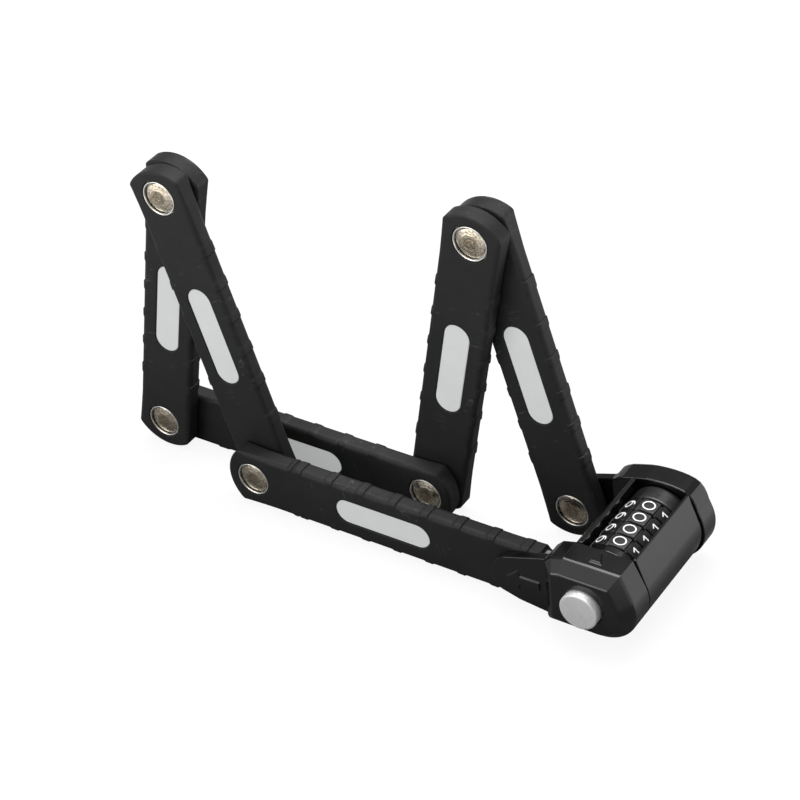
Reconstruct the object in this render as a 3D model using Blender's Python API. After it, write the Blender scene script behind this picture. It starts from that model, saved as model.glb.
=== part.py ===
"""Folding link lock: six riveted links, a jaw with a push button bolt, and four number wheels.

X runs along the tongue link, Y from the front of the lock to its back (all rivet and
wheel axes are parallel to Y), Z is up. The origin is where the number wheels' axis meets
the flat back face of the rear cap. The layout below is measured from another point: the
axis of the rivet that joins the last link to the lock body, in the front plane of the
tongue link. ORIGIN is the place of the final origin in that layout. Lengths in the
constants are millimetres; the geometry is built in metres. Outlines are lists of (x, z).
"""

import math

import bmesh
import bpy
from mathutils import Matrix, Vector
from mathutils.geometry import tessellate_polygon

for old in list(bpy.data.objects):
    bpy.data.objects.remove(old, do_unlink=True)

MM = 0.001
CENTRE = (0.0, 0.0)      # axis of a piece drawn in its own frame
GAP = 0.3                # running and moulding clearance
LOOSE = 0.4              # wider clearance, mostly at blind ends
OVERCUT = 1.0            # cutters run past a face by this or a multiple of it

# ---- chain -------------------------------------------------------------------------
PITCH = 130.0            # rivet to rivet
LAYER = 8.4              # each link lies in its own layer along Y
# Direction of each link from its start rivet, degrees from +X towards +Z; front layer first.
LINK_ANGLES = {"a": 0.0, "b": -75.2, "c": 78.0, "d": 180.0, "e": -102.0, "f": 104.8}

LINK_THICK = 7.9         # over the sleeve
HALF_WIDTH = 13.0        # sleeve
END_R = 18.1             # flat arc that ends the sleeve
END_SHIFT = 5.9          # centre of that arc, from the rivet towards the middle of the link
END_STEPS = 7
EDGE = 0.63              # bevel of the sleeve's edge
PLATE_THICK = 5.0
PLATE_HALF = 11.2
PLATE_END_R = 16.3
PLATE_DEPTH = (LINK_THICK - PLATE_THICK) / 2.0
SKIN = PLATE_DEPTH - GAP                  # wall of the hollow sleeve
WINDOW_LEN, WINDOW_HALF = 46.0, 6.0       # slot through the sleeve that shows the inlay
INLAY_LEVELS = [(0.35, 0.45), (0.5, 0.3), (1.05, 0.3)]   # depth below sleeve face, inset

SHANK_R, HEAD_R = 4.0, 6.4
HEAD_SINK = 0.10         # rivet crown below the sleeve face
RIVET_SEGMENTS = 16
RING_IN, RING_OUT = 6.75, 7.7
RING_Y = (0.15, 1.05)
RECESS_R = 8.0
SLEEVE_BORE_R = SHANK_R + 0.5
PLATE_BORE_R = SHANK_R + 0.35
BORE_SEGMENTS = 14
RECESS_SEGMENTS = 22

TONGUE_SLEEVE_END = 12.5     # both ends are measured past the end of one pitch
TONGUE_END = 42.3
TONGUE_HOLE_R = 4.4
SLEEVE_CORNER, CAVITY_CORNER, PLATE_CORNER = 2.6, 0.4, 4.0

# ---- lock body ---------------------------------------------------------------------
CAP_LEFT = 15.8
CAP_BOTTOM = -11.5
CAP_TOP = 22.3
FLANK_CENTRE = (39.8, 4.5)   # the rounded right side
FLANK_R = 16.05
# Angle at which the flank meets the flat underside.
FLANK_FROM = -math.degrees(math.asin((FLANK_CENTRE[1] - CAP_BOTTOM) / FLANK_R))
FLANK_TO = 25.0
TOP_RIGHT_X = 49.3
CAP_FRONT, CAP_REAR = -11.1, 4.6
CAP_CHAMFER = 5.0
BARREL_FRONT, BARREL_REAR = 4.9, 48.5
REAR_FRONT, REAR_BACK = 48.8, 60.0
REAR_PROUD = 1.0             # flank of the rear cap beyond that of the barrel
EAR_FRONT = (-4.4, -0.5)
EAR_REAR = (50.4, 54.2)
EAR_FRONT_EDGE, EAR_REAR_EDGE = 0.5, 0.2
SLOT_X = (5.0, 43.6)         # slot for the tongue
SLOT_Y = (1.1, 6.85)
SLOT_TOP = 12.0

# Corners: x, z, then how far x and z move for each millimetre of inset.
CAP_FOOT = [
    (CAP_LEFT, CAP_BOTTOM + 1.2, 1.0, 1.0),
    (CAP_LEFT + 1.2, CAP_BOTTOM, 1.0, 1.0),
]
CAP_CREST = [
    (TOP_RIGHT_X, CAP_TOP, -0.85, -1.0),
    (24.4, CAP_TOP - 0.2, 0.5, -1.0),
    (18.8, CAP_TOP - 1.8, 0.8, -1.0),
    (CAP_LEFT, 17.4, 1.0, -0.8),
]
REAR_LEFT = CAP_LEFT - 0.5
REAR_FOOT = [
    (REAR_LEFT, CAP_BOTTOM + 0.8, 1.0, 1.0),
    (CAP_LEFT + 1.5, CAP_BOTTOM - 1.0, 1.0, 1.0),
]
REAR_CREST = [
    (52.6, 19.4, -1.0, -0.6), (50.2, 22.4, -0.8, -0.8), (46.0, 23.7, -0.3, -1.0),
    (40.5, 24.1, 0.0, -1.0), (34.0, 23.9, 0.0, -1.0), (28.5, 23.0, 0.2, -1.0),
    (20.2, 20.4, 0.6, -1.0), (REAR_LEFT, 17.2, 1.0, -0.6),
]
EAR_ROOT_X = 21.0
EAR_CREST = [(EAR_ROOT_X, 18.6, 0.0, -1.0)]
EAR_FOOT = [
    (2.4, -9.9, 0.0, 1.0),
    (15.0, CAP_BOTTOM + 0.1, 0.0, 1.0),
    (EAR_ROOT_X, CAP_BOTTOM + 0.1, 0.0, 1.0),
]
# Barrel corners: x, z.
BARREL_FOOT = [(21.4, -3.0), (23.0, -7.8), (27.5, -11.2)]
BARREL_CREST = [(TOP_RIGHT_X, CAP_TOP), (25.2, CAP_TOP), (22.8, 19.2), (21.4, 13.0)]

DOWEL_R = 1.4
DOWEL_RIGHT, DOWEL_LEFT = (49.3, -4.7), (26.4, -5.4)
DOWEL_FRONT_Y = (-3.6, 11.0)
DOWEL_REAR_Y = (40.5, 55.0)

# ---- button, bolt and catch --------------------------------------------------------
BUTTON = (34.8, 4.8)
BUTTON_R = 8.25
BUTTON_WAIST_R = 7.4
BUTTON_HOLLOW_R = 6.4
BUTTON_EDGE = 0.5
BUTTON_FACE, BUTTON_BACK = -14.5, -3.6
WAIST_Y = (-10.2, -4.6)
HOLLOW_FLOOR = -9.0
BOLT_R, BOLT_TIP, BOLT_EDGE = 4.0, 0.8, 0.6
HEAD_BORE_FLOOR = 0.1
CATCH_Z = (3.2, 6.4)
CATCH_OUTLINE = [        # x, y
    (42.6, -6.3), (51.0, -6.3), (51.0, 3.8),
    (45.2, 3.8), (45.2, -4.9), (42.6, -4.9),
]

# ---- number wheels -----------------------------------------------------------------
DIAL = (38.2, 8.3)
DIAL_R = 14.0
DIAL_FIRST, DIAL_PITCH, DIAL_HALF = 12.8, 7.87, 3.6
DIAL_COUNT = 4
DIAL_BORE_R = 9.8
WHEEL_FACE = [           # degrees from the middle of a face, depth below DIAL_R
    (-15.2, 0.05), (0.0, 0.35), (15.2, 0.05), (18.0, 0.95),
]
CODE_OUT, CODE_IN = 9.4, 6.4
KEYWAY_HALF = 1.3
SPINDLE_R = 6.0
SPINDLE_Y = (9.2, 55.2)
FLANGE_R = 9.0
FLANGE_Y = (49.2, 51.0)
SPACER_Y = (40.5, 48.2)
BORE_R = 14.5
BORE_FRONT = BARREL_FRONT + 3.7
WINDOW_X = (26.9, 48.7)
HUMP_R = 13.7
STRIP_X = (36.4, 40.0)
STRIP_Y = (9.6, 40.0)
STRIP_Z = (-7.9, -7.3)
STRIP_BUMP = [           # y from the wheel's middle, z
    (-2.0, STRIP_Z[1]), (-0.5, -6.25), (0.5, -6.25), (2.0, STRIP_Z[1]),
]
ORIGIN = (DIAL[0], REAR_BACK, DIAL[1])


# ---- outlines ----------------------------------------------------------------------
def polar(centre, radius, degrees):
    turn = math.radians(degrees)
    return (centre[0] + radius * math.cos(turn), centre[1] + radius * math.sin(turn))


def arc(centre, radius, start, end, steps):
    return [polar(centre, radius, start + (end - start) * i / steps) for i in range(steps + 1)]


def circle(centre, radius, segments):
    return arc(centre, radius, 0.0, 360.0, segments)[:-1]


def inset_corners(corners, inset):
    return [(x + inset * move_x, z + inset * move_z) for x, z, move_x, move_z in corners]


# ---- mesh building -----------------------------------------------------------------
def add_ring(bm, points, y):
    return [bm.verts.new((x * MM, y * MM, z * MM)) for x, z in points]


def add_skirt(bm, ring, other):
    """Join two rings with the same number of vertices by a band of quads."""
    for i in range(len(ring)):
        j = (i + 1) % len(ring)
        bm.faces.new((ring[i], ring[j], other[j], other[i]))


def add_lid(bm, loops, rings):
    """Close a flat face: the first loop is its outline, any others are holes in it."""
    verts = [vert for ring in rings for vert in ring]
    for triangle in tessellate_polygon([[Vector((x, z, 0.0)) for x, z in loop] for loop in loops]):
        bm.faces.new([verts[k] for k in triangle])


def mesh_of(bm):
    bmesh.ops.recalc_face_normals(bm, faces=bm.faces)
    mesh = bpy.data.meshes.new("solid")
    bm.to_mesh(mesh)
    bm.free()
    return mesh


def prism(loops, y_front, y_back):
    """Closed solid between two Y planes over an outline, less any inner loops."""
    bm = bmesh.new()
    rings = [[add_ring(bm, loop, y) for y in (y_front, y_back)] for loop in loops]
    for front, back in rings:
        add_skirt(bm, front, back)
    for side in (0, 1):
        add_lid(bm, loops, [pair[side] for pair in rings])
    return mesh_of(bm)


def loft(sections):
    """Closed solid through outlines with the same number of points: [(y, outline)]."""
    bm = bmesh.new()
    rings = [add_ring(bm, points, y) for y, points in sections]
    for ring, following in zip(rings, rings[1:]):
        add_skirt(bm, ring, following)
    for end in (0, -1):
        add_lid(bm, [sections[end][1]], [rings[end]])
    return mesh_of(bm)


def turned(profile, segments):
    """Solid of revolution about Y; profile is [(y, radius)], closed on itself or on the axis."""
    bm = bmesh.new()
    rings = [add_ring(bm, circle(CENTRE, radius, segments) if radius else [CENTRE], y)
             for y, radius in profile]
    pairs = list(zip(rings, rings[1:]))
    if profile[0][1] != 0.0:
        pairs.append((rings[-1], rings[0]))
    for ring, following in pairs:
        if len(ring) > 1 and len(following) > 1:
            add_skirt(bm, ring, following)
            continue
        for i in range(segments):
            j = (i + 1) % segments
            if len(ring) == 1:
                bm.faces.new((ring[0], following[i], following[j]))
            else:
                bm.faces.new((ring[i], ring[j], following[0]))
    return mesh_of(bm)


def shell(levels, cavity, wall, front_holes, rear_holes):
    """Hollow moulding: outer loft, inner cavity, and through each wall its own set of holes."""
    bm = bmesh.new()
    outer = [add_ring(bm, points, y) for y, points in levels]
    for ring, following in zip(outer, outer[1:]):
        add_skirt(bm, ring, following)
    inner_ys = (levels[0][0] + wall, levels[-1][0] - wall)
    room = [add_ring(bm, cavity, y) for y in inner_ys]
    add_skirt(bm, *room)
    for end, holes in ((0, front_holes), (-1, rear_holes)):
        outer_y, outline = levels[end]
        mouths = [add_ring(bm, hole, outer_y) for hole in holes]
        throats = [add_ring(bm, hole, inner_ys[end]) for hole in holes]
        for mouth, throat in zip(mouths, throats):
            add_skirt(bm, mouth, throat)
        add_lid(bm, [outline] + holes, [outer[end]] + mouths)
        add_lid(bm, [cavity] + holes, [room[end]] + throats)
    return mesh_of(bm)


def coil(radius, wire_r, y_front, y_back, turns, steps_per_turn, sides):
    """Round wire wound about the Y axis between two Y planes."""
    bm = bmesh.new()
    rings = []
    steps = int(turns * steps_per_turn)
    start, end = y_front + wire_r, y_back - wire_r
    along = Vector((0, 1, 0))
    for i in range(steps + 1):
        part = i / steps
        turn = 2 * math.pi * turns * part
        out = Vector((math.cos(turn), 0.0, math.sin(turn)))
        middle = Vector((radius * math.cos(turn), start + (end - start) * part,
                         radius * math.sin(turn)))
        around = [2 * math.pi * k / sides for k in range(sides)]
        rings.append([
            bm.verts.new((middle + wire_r * (math.cos(roll) * out + math.sin(roll) * along)) * MM)
            for roll in around])
    for ring, following in zip(rings, rings[1:]):
        add_skirt(bm, ring, following)
    bm.faces.new(rings[0])
    bm.faces.new(rings[-1])
    return mesh_of(bm)


def box(x_range, y_range, z_range):
    (left, right), (bottom, top) = x_range, z_range
    return prism([[(left, bottom), (right, bottom), (right, top), (left, top)]], *y_range)


SWAP_XY = Matrix(((0, 1, 0, 0), (1, 0, 0, 0), (0, 0, 1, 0), (0, 0, 0, 1)))
SWAP_YZ = Matrix(((1, 0, 0, 0), (0, 0, 1, 0), (0, 1, 0, 0), (0, 0, 0, 1)))


def swap_axes(mesh, swap):
    """Exchange two axes; the mirroring turns the faces inside out, so they are flipped back."""
    mesh.transform(swap)
    mesh.flip_normals()
    return mesh


def carve(base, cuts, adds=()):
    """The base mesh with solids added to it and then cut from it."""
    body = bpy.data.objects.new("work", base)
    bpy.context.scene.collection.objects.link(body)
    tools = []
    for operation, meshes in (("UNION", adds), ("DIFFERENCE", cuts)):
        for mesh in meshes:
            tool = bpy.data.objects.new("tool", mesh)
            bpy.context.scene.collection.objects.link(tool)
            tool.hide_render = True
            tools.append(tool)
            modifier = body.modifiers.new(operation.title(), "BOOLEAN")
            modifier.operation = operation
            modifier.object = tool
            modifier.solver = "EXACT"
    bpy.context.view_layer.update()
    depsgraph = bpy.context.evaluated_depsgraph_get()
    carved = bpy.data.meshes.new_from_object(body.evaluated_get(depsgraph))
    for helper in tools + [body]:
        bpy.data.objects.remove(helper, do_unlink=True)
    return carved


# ---- objects and materials ---------------------------------------------------------
def place(name, mesh, surface, parent, smooth=30.0):
    """Object in its parent's frame; edges sharper than smooth degrees stay crisp."""
    piece = bpy.data.objects.new(name, mesh)
    bpy.context.scene.collection.objects.link(piece)
    if not mesh.materials:
        mesh.materials.append(None)
    piece.material_slots[0].link = "OBJECT"
    piece.material_slots[0].material = surface
    mesh.shade_smooth()
    mesh.set_sharp_from_angle(angle=math.radians(smooth))
    piece.parent = parent


def pivot(name, x, y, z, angle=0.0):
    """Empty at a point of the layout, turned by angle degrees from +X towards +Z."""
    empty = bpy.data.objects.new(name, None)
    empty.empty_display_size = 0.01
    empty.location = ((x - ORIGIN[0]) * MM, (y - ORIGIN[1]) * MM, (z - ORIGIN[2]) * MM)
    empty.rotation_euler = (0.0, math.radians(-angle), 0.0)
    bpy.context.scene.collection.objects.link(empty)
    return empty


def material(name, colour, roughness, metallic):
    made = bpy.data.materials.new(name)
    made.use_nodes = True
    inputs = made.node_tree.nodes["Principled BSDF"].inputs
    inputs["Base Color"].default_value = (*colour, 1.0)
    inputs["Roughness"].default_value = roughness
    inputs["Metallic"].default_value = metallic
    return made


RUBBER = material("sleeve_rubber", colour=(0.016, 0.016, 0.017), roughness=0.55, metallic=0.0)
STEEL = material("plate_steel", colour=(0.50, 0.50, 0.49), roughness=0.38, metallic=1.0)
INLAY = material("inlay_grey", colour=(0.62, 0.65, 0.66), roughness=0.45, metallic=0.0)
NICKEL = material("rivet_nickel", colour=(0.62, 0.57, 0.50), roughness=0.28, metallic=1.0)
PAINT = material("body_gloss_black", colour=(0.010, 0.010, 0.011), roughness=0.22, metallic=0.0)
SATIN = material("button_satin", colour=(0.78, 0.79, 0.79), roughness=0.30, metallic=1.0)
WHEEL = material("wheel_black", colour=(0.012, 0.012, 0.012), roughness=0.30, metallic=0.0)
BRASS = material("code_brass", colour=(0.70, 0.52, 0.24), roughness=0.35, metallic=1.0)
SPRING = material("spring_steel", colour=(0.55, 0.56, 0.58), roughness=0.30, metallic=1.0)


# ---- link pieces, drawn from the start rivet along +X ------------------------------
def start_arc(half, end_r):
    spread = math.degrees(math.asin(half / end_r))
    return arc((END_SHIFT, 0.0), end_r, 180.0 - spread, 180.0 + spread, END_STEPS)


def link_outline(half, end_r):
    """Straight sides with a flat arc at each end, which leaves four blunt corners."""
    spread = math.degrees(math.asin(half / end_r))
    far_arc = arc((PITCH - END_SHIFT, 0.0), end_r, -spread, spread, END_STEPS)
    return far_arc + start_arc(half, end_r)


def tongue_outline(half, end_r, length, corner):
    """Flat arc at the start, a square end with two small rounded corners at x = length."""
    return (arc((length - corner, -half + corner), corner, -90.0, 0.0, 3)
            + arc((length - corner, half - corner), corner, 0.0, 90.0, 3)
            + start_arc(half, end_r))


def tongue_sleeve_outline(half, end_r):
    length = PITCH + TONGUE_SLEEVE_END - (HALF_WIDTH - half) * 0.6
    return tongue_outline(half, end_r, length, SLEEVE_CORNER)


def window_outline(inset):
    radius = WINDOW_HALF - inset
    reach = WINDOW_LEN / 2.0 - WINDOW_HALF
    return (arc((PITCH / 2 + reach, 0), radius, -90, 90, 6)
            + arc((PITCH / 2 - reach, 0), radius, 90, 270, 6))


def sleeve(outline, cavity, far_rivet):
    """Hollow sleeve; the head recess is in front at the start rivet, behind at the far one."""
    edge_outline = outline(HALF_WIDTH - EDGE, END_R - EDGE)
    full_outline = outline(HALF_WIDTH, END_R)
    levels = [(0.0, edge_outline), (EDGE, full_outline),
              (LINK_THICK - EDGE, full_outline), (LINK_THICK, edge_outline)]
    window = window_outline(0.0)
    front = [circle(CENTRE, RECESS_R, RECESS_SEGMENTS), window]
    rear = [circle(CENTRE, SLEEVE_BORE_R, BORE_SEGMENTS), window]
    if far_rivet:
        front.append(circle((PITCH, 0), SLEEVE_BORE_R, BORE_SEGMENTS))
        rear.append(circle((PITCH, 0), RECESS_R, RECESS_SEGMENTS))
    return shell(levels, cavity, SKIN, front, rear)


def link_sleeve():
    cavity = link_outline(PLATE_HALF + GAP, PLATE_END_R + GAP)
    return sleeve(link_outline, cavity, far_rivet=True)


def tongue_sleeve():
    """Sleeve whose far end is opened, just inside the cavity's walls, to let the plate out."""
    end = PITCH + TONGUE_SLEEVE_END
    cavity = tongue_outline(PLATE_HALF + GAP, PLATE_END_R + GAP, end - 3.0, CAVITY_CORNER)
    mouth_half = PLATE_HALF + 0.22
    mouth = box((end - 5.0, end + 5.0), (SKIN + 0.05, LINK_THICK - SKIN - 0.05),
                (-mouth_half, mouth_half))
    return carve(sleeve(tongue_sleeve_outline, cavity, far_rivet=False), [mouth])


def plate(outline, far_hole):
    return prism([outline, circle(CENTRE, PLATE_BORE_R, BORE_SEGMENTS), far_hole],
                 PLATE_DEPTH, LINK_THICK - PLATE_DEPTH)


def link_plate():
    return plate(link_outline(PLATE_HALF, PLATE_END_R),
                 circle((PITCH, 0), PLATE_BORE_R, BORE_SEGMENTS))


def tongue_plate():
    """Plate with the bolt's hole near its end."""
    return plate(tongue_outline(PLATE_HALF, PLATE_END_R, PITCH + TONGUE_END, PLATE_CORNER),
                 circle((PITCH + BUTTON[0], BUTTON[1]), TONGUE_HOLE_R, 20))


def dome(crown, floor):
    """Profile of a shallow domed head, from its crown to its floor."""
    height = floor - crown
    return [(crown, 0.0), (crown + 0.25 * height, HEAD_R * 0.7),
            (crown + 0.62 * height, HEAD_R), (floor, HEAD_R)]


def rivet(rear_floor, rear_crown):
    """Domed head in the front recess, a shank, and a second head behind."""
    shank = [(SKIN, SHANK_R), (rear_floor, SHANK_R)]
    return turned(dome(HEAD_SINK, SKIN) + shank + dome(rear_crown, rear_floor)[::-1],
                  RIVET_SEGMENTS)


def rivet_ring():
    front, back = RING_Y
    return turned([(front, RING_IN), (back, RING_IN), (back, RING_OUT), (front, RING_OUT)], 20)


def start_rivets():
    """Start rivet of each link, found from the lock body back to the tongue link."""
    starts = {}
    point = (0.0, 0.0)
    for key in reversed(LINK_ANGLES):
        starts[key] = point
        point = polar(point, PITCH, LINK_ANGLES[key])
    return starts


def build_chain():
    plate_mesh, tongue_plate_mesh = link_plate(), tongue_plate()
    sleeve_mesh, tongue_sleeve_mesh = link_sleeve(), tongue_sleeve()
    inlay_front = loft([(depth, window_outline(inset)) for depth, inset in INLAY_LEVELS])
    inlay_rear = loft([(LINK_THICK - depth, window_outline(inset))
                       for depth, inset in reversed(INLAY_LEVELS)])
    two_links = LAYER + LINK_THICK
    link_rivet = rivet(two_links - SKIN, two_links - HEAD_SINK)
    ear_back = EAR_REAR[1] - 5 * LAYER      # in the frame of the last link
    body_rivet = rivet(ear_back + GAP, ear_back + 1.5)
    ring_mesh = rivet_ring()
    starts = start_rivets()
    for index, (key, angle) in enumerate(LINK_ANGLES.items()):
        x, z = starts[key]
        link = pivot("pivot_" + key, x, index * LAYER, z, angle)
        is_tongue, is_last = key == "a", key == "f"
        name = f"link_{key}_"
        place(name + "plate", tongue_plate_mesh if is_tongue else plate_mesh, STEEL, link)
        place(name + "sleeve", tongue_sleeve_mesh if is_tongue else sleeve_mesh, RUBBER, link)
        place(name + "inlay_front", inlay_front, INLAY, link)
        place(name + "inlay_rear", inlay_rear, INLAY, link)
        place(f"rivet_{index + 1}", body_rivet if is_last else link_rivet, NICKEL, link)
        place(f"rivet_ring_{index + 1}", ring_mesh, NICKEL, link)


# ---- lock body ---------------------------------------------------------------------
def cap_outline(inset):
    flank = arc(FLANK_CENTRE, FLANK_R - inset, FLANK_FROM, FLANK_TO, 14)
    return inset_corners(CAP_FOOT, inset) + flank + inset_corners(CAP_CREST, inset)


def rear_outline(inset):
    """Stands a little proud of the barrel, with a crowned top."""
    flank = arc(FLANK_CENTRE, FLANK_R + REAR_PROUD - inset, -84.0, 32.0, 14)
    return inset_corners(REAR_FOOT, inset) + flank + inset_corners(REAR_CREST, inset)


def ear_outline(inset):
    left = arc((-0.6, 0.8), 9.9 - inset, 112.0, 238.0, 9)
    return inset_corners(EAR_CREST, inset) + left + inset_corners(EAR_FOOT, inset)


def ear(front, back):
    """Rounded lug on the left of a cap; its root is buried in the cap."""
    return loft([(front, ear_outline(EAR_FRONT_EDGE)), (front + EAR_FRONT_EDGE, ear_outline(0.0)),
                 (back - EAR_REAR_EDGE, ear_outline(0.0)), (back, ear_outline(EAR_REAR_EDGE))])


def round_bore(centre, radius, segments, front, back):
    return prism([circle(centre, radius, segments)], front, back)


def dowel_hole(centre, front, back):
    return round_bore(centre, DOWEL_R + GAP, 14, front, back)


def tongue_slot():
    return box(SLOT_X, SLOT_Y, (CAP_BOTTOM - 3 * OVERCUT, SLOT_TOP))


def front_cap():
    catch_z = (CATCH_Z[0] - GAP, CATCH_Z[1] + GAP)
    cuts = [
        round_bore(BUTTON, BUTTON_R + 0.35, 28, CAP_FRONT - 2 * OVERCUT, HEAD_BORE_FLOOR),
        round_bore(BUTTON, BOLT_R + LOOSE, 20, -6.0, 3.0),
        tongue_slot(),
        box((41.0, 50.0), (-6.7, -4.5), catch_z),                    # catch's nose
        box((44.6, 52.9), (-6.7, CAP_REAR + OVERCUT), catch_z),      # rest of the catch
        dowel_hole(DOWEL_RIGHT, DOWEL_FRONT_Y[0] - LOOSE, CAP_REAR + OVERCUT),
    ]
    base = loft([
        (CAP_FRONT, cap_outline(CAP_CHAMFER)),
        (CAP_FRONT + 0.5, cap_outline(CAP_CHAMFER - 0.6)),
        (CAP_FRONT + CAP_CHAMFER, cap_outline(0.0)),
        (CAP_REAR, cap_outline(0.0))])
    return carve(base, cuts, adds=[ear(*EAR_FRONT)])


def hump_cut():
    """Leaves a fixed hump in front of the first wheel that carries on the wheels' round shape."""
    right, left = [math.degrees(math.acos((x - DIAL[0]) / HUMP_R)) for x in WINDOW_X[::-1]]
    above = CAP_TOP + 5 * OVERCUT
    outline = [(WINDOW_X[1], above), (WINDOW_X[0], above)] + arc(DIAL, HUMP_R, left, right, 12)
    return prism([outline], BARREL_FRONT - OVERCUT, BORE_FRONT + 0.4)


def barrel_housing():
    outline = (BARREL_FOOT + arc(FLANK_CENTRE, FLANK_R, FLANK_FROM, FLANK_TO, 16)
               + BARREL_CREST)
    bore_back = BARREL_REAR + 2 * OVERCUT
    cuts = [
        round_bore(DIAL, BORE_R, 40, BORE_FRONT, bore_back),
        box(WINDOW_X, (BORE_FRONT, bore_back), (DIAL[1] + 2.0, CAP_TOP + 5 * OVERCUT)),
        hump_cut(),
        box((36.0, 40.4), (BORE_FRONT + 0.4, 41.0), (-8.3, -4.0)),   # detent strip's groove
        tongue_slot(),
        dowel_hole(DOWEL_RIGHT, BARREL_FRONT - OVERCUT, DOWEL_FRONT_Y[1] + LOOSE),
    ]
    for dowel in (DOWEL_RIGHT, DOWEL_LEFT):
        cuts.append(dowel_hole(dowel, DOWEL_REAR_Y[0] - LOOSE, BARREL_REAR + OVERCUT))
    return carve(prism([outline], BARREL_FRONT, BARREL_REAR), cuts)


def rear_cap():
    front = REAR_FRONT - OVERCUT
    cuts = [
        round_bore(DIAL, FLANGE_R + LOOSE, 28, front, FLANGE_Y[1] + LOOSE),
        round_bore(DIAL, SPINDLE_R + GAP, 24, 50.0, SPINDLE_Y[1] + LOOSE),
        round_bore(CENTRE, SHANK_R + GAP, 20, EAR_REAR[0] - OVERCUT, EAR_REAR[1] + OVERCUT),
    ]
    for dowel in (DOWEL_RIGHT, DOWEL_LEFT):
        cuts.append(dowel_hole(dowel, front, DOWEL_REAR_Y[1] + LOOSE))
    base = loft([
        (REAR_FRONT, rear_outline(0.6)),
        (REAR_FRONT + 0.6, rear_outline(0.0)),
        (REAR_BACK - 2.6, rear_outline(0.0)),
        (REAR_BACK - 0.8, rear_outline(0.9)),
        (REAR_BACK, rear_outline(2.6))])
    return carve(base, cuts, adds=[ear(*EAR_REAR)])


def build_body(lock):
    place("front_cap", front_cap(), PAINT, lock)
    place("barrel_housing", barrel_housing(), PAINT, lock)
    place("rear_cap", rear_cap(), PAINT, lock)
    # Steel dowels hold the two caps to the barrel.
    for name, centre, y_range in (
            ("front_dowel", DOWEL_RIGHT, DOWEL_FRONT_Y),
            ("rear_dowel_1", DOWEL_RIGHT, DOWEL_REAR_Y),
            ("rear_dowel_2", DOWEL_LEFT, DOWEL_REAR_Y)):
        place(name, prism([circle(centre, DOWEL_R, 14)], *y_range), STEEL, lock)


# ---- push button with its bolt, return spring and catch ----------------------------
def push_button():
    """Waisted button, hollow behind, with the bolt running back from the hollow's floor."""
    return turned([
        (BUTTON_FACE, 0.0), (BUTTON_FACE, BUTTON_R - BUTTON_EDGE),
        (BUTTON_FACE + BUTTON_EDGE, BUTTON_R), (WAIST_Y[0], BUTTON_R),
        (WAIST_Y[0], BUTTON_WAIST_R), (WAIST_Y[1], BUTTON_WAIST_R),
        (WAIST_Y[1], BUTTON_R), (BUTTON_BACK, BUTTON_R),
        (BUTTON_BACK, BUTTON_HOLLOW_R), (HOLLOW_FLOOR, BUTTON_HOLLOW_R),
        (HOLLOW_FLOOR, BOLT_R), (BOLT_TIP - BOLT_EDGE, BOLT_R),
        (BOLT_TIP, BOLT_R - BOLT_EDGE), (BOLT_TIP, 0.0)], 24)


def build_button(lock):
    button = pivot("button_origin", BUTTON[0], 0.0, BUTTON[1])
    place("push_button", push_button(), SATIN, button)
    spring = coil(radius=5.25, wire_r=0.45, y_front=-8.7, y_back=-0.2,
                  turns=4.5, steps_per_turn=12, sides=5)
    place("return_spring", spring, SPRING, button, smooth=60.0)
    catch = swap_axes(prism([CATCH_OUTLINE], *CATCH_Z), SWAP_YZ)
    place("button_catch", catch, STEEL, lock)


# ---- number wheels, code sleeves, spindle ------------------------------------------
def number_wheel():
    """Ten slightly dished faces with a notch between each and the next."""
    outline = [polar(CENTRE, DIAL_R - depth, 90.0 + 36.0 * i + offset)
               for i in range(10) for offset, depth in WHEEL_FACE]
    return prism([outline, circle(CENTRE, DIAL_BORE_R, 18)], -DIAL_HALF, DIAL_HALF)


def code_sleeve():
    """Ring with a slot cut upwards into its bore."""
    ring = prism([circle(CENTRE, CODE_OUT, 18), circle(CENTRE, CODE_IN, 16)],
                 -DIAL_HALF, DIAL_HALF)
    cut_half = DIAL_HALF + OVERCUT
    return carve(ring, [box((-KEYWAY_HALF, KEYWAY_HALF), (-cut_half, cut_half),
                            (3.0, CODE_IN + 1.2))])


def spindle():
    front, back = SPINDLE_Y
    return turned([
        (front, 0.0), (front, SPINDLE_R - 0.5), (front + 0.5, SPINDLE_R),
        (FLANGE_Y[0], SPINDLE_R), (FLANGE_Y[0], FLANGE_R), (FLANGE_Y[1], FLANGE_R),
        (FLANGE_Y[1], SPINDLE_R), (back, SPINDLE_R), (back, 0.0)], 16)


def detent_strip():
    """Flat strip with one bump under each wheel, drawn in (y, z)."""
    front, back = STRIP_Y
    bottom, top = STRIP_Z
    bumps = [(DIAL_FIRST + DIAL_PITCH * i + offset, z)
             for i in range(DIAL_COUNT) for offset, z in STRIP_BUMP]
    outline = [(front, bottom), (back, bottom), (back, top)] + bumps[::-1] + [(front, top)]
    return swap_axes(prism([outline], *STRIP_X), SWAP_XY)


def build_wheels(lock):
    axis = pivot("wheel_origin", DIAL[0], 0.0, DIAL[1])
    wheel_mesh, code_mesh = number_wheel(), code_sleeve()
    for i in range(DIAL_COUNT):
        centre = pivot(f"wheel_pivot_{i + 1}", DIAL[0], DIAL_FIRST + DIAL_PITCH * i, DIAL[1])
        place(f"number_wheel_{i + 1}", wheel_mesh, WHEEL, centre)
        place(f"code_sleeve_{i + 1}", code_mesh, BRASS, centre)
    place("spindle", spindle(), SPRING, axis)
    drum = prism([circle(CENTRE, DIAL_R - GAP, 32), circle(CENTRE, SPINDLE_R + 0.35, 16)],
                 *SPACER_Y)
    place("spacer_drum", drum, WHEEL, axis)
    place("detent_strip", detent_strip(), SPRING, lock)


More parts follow.
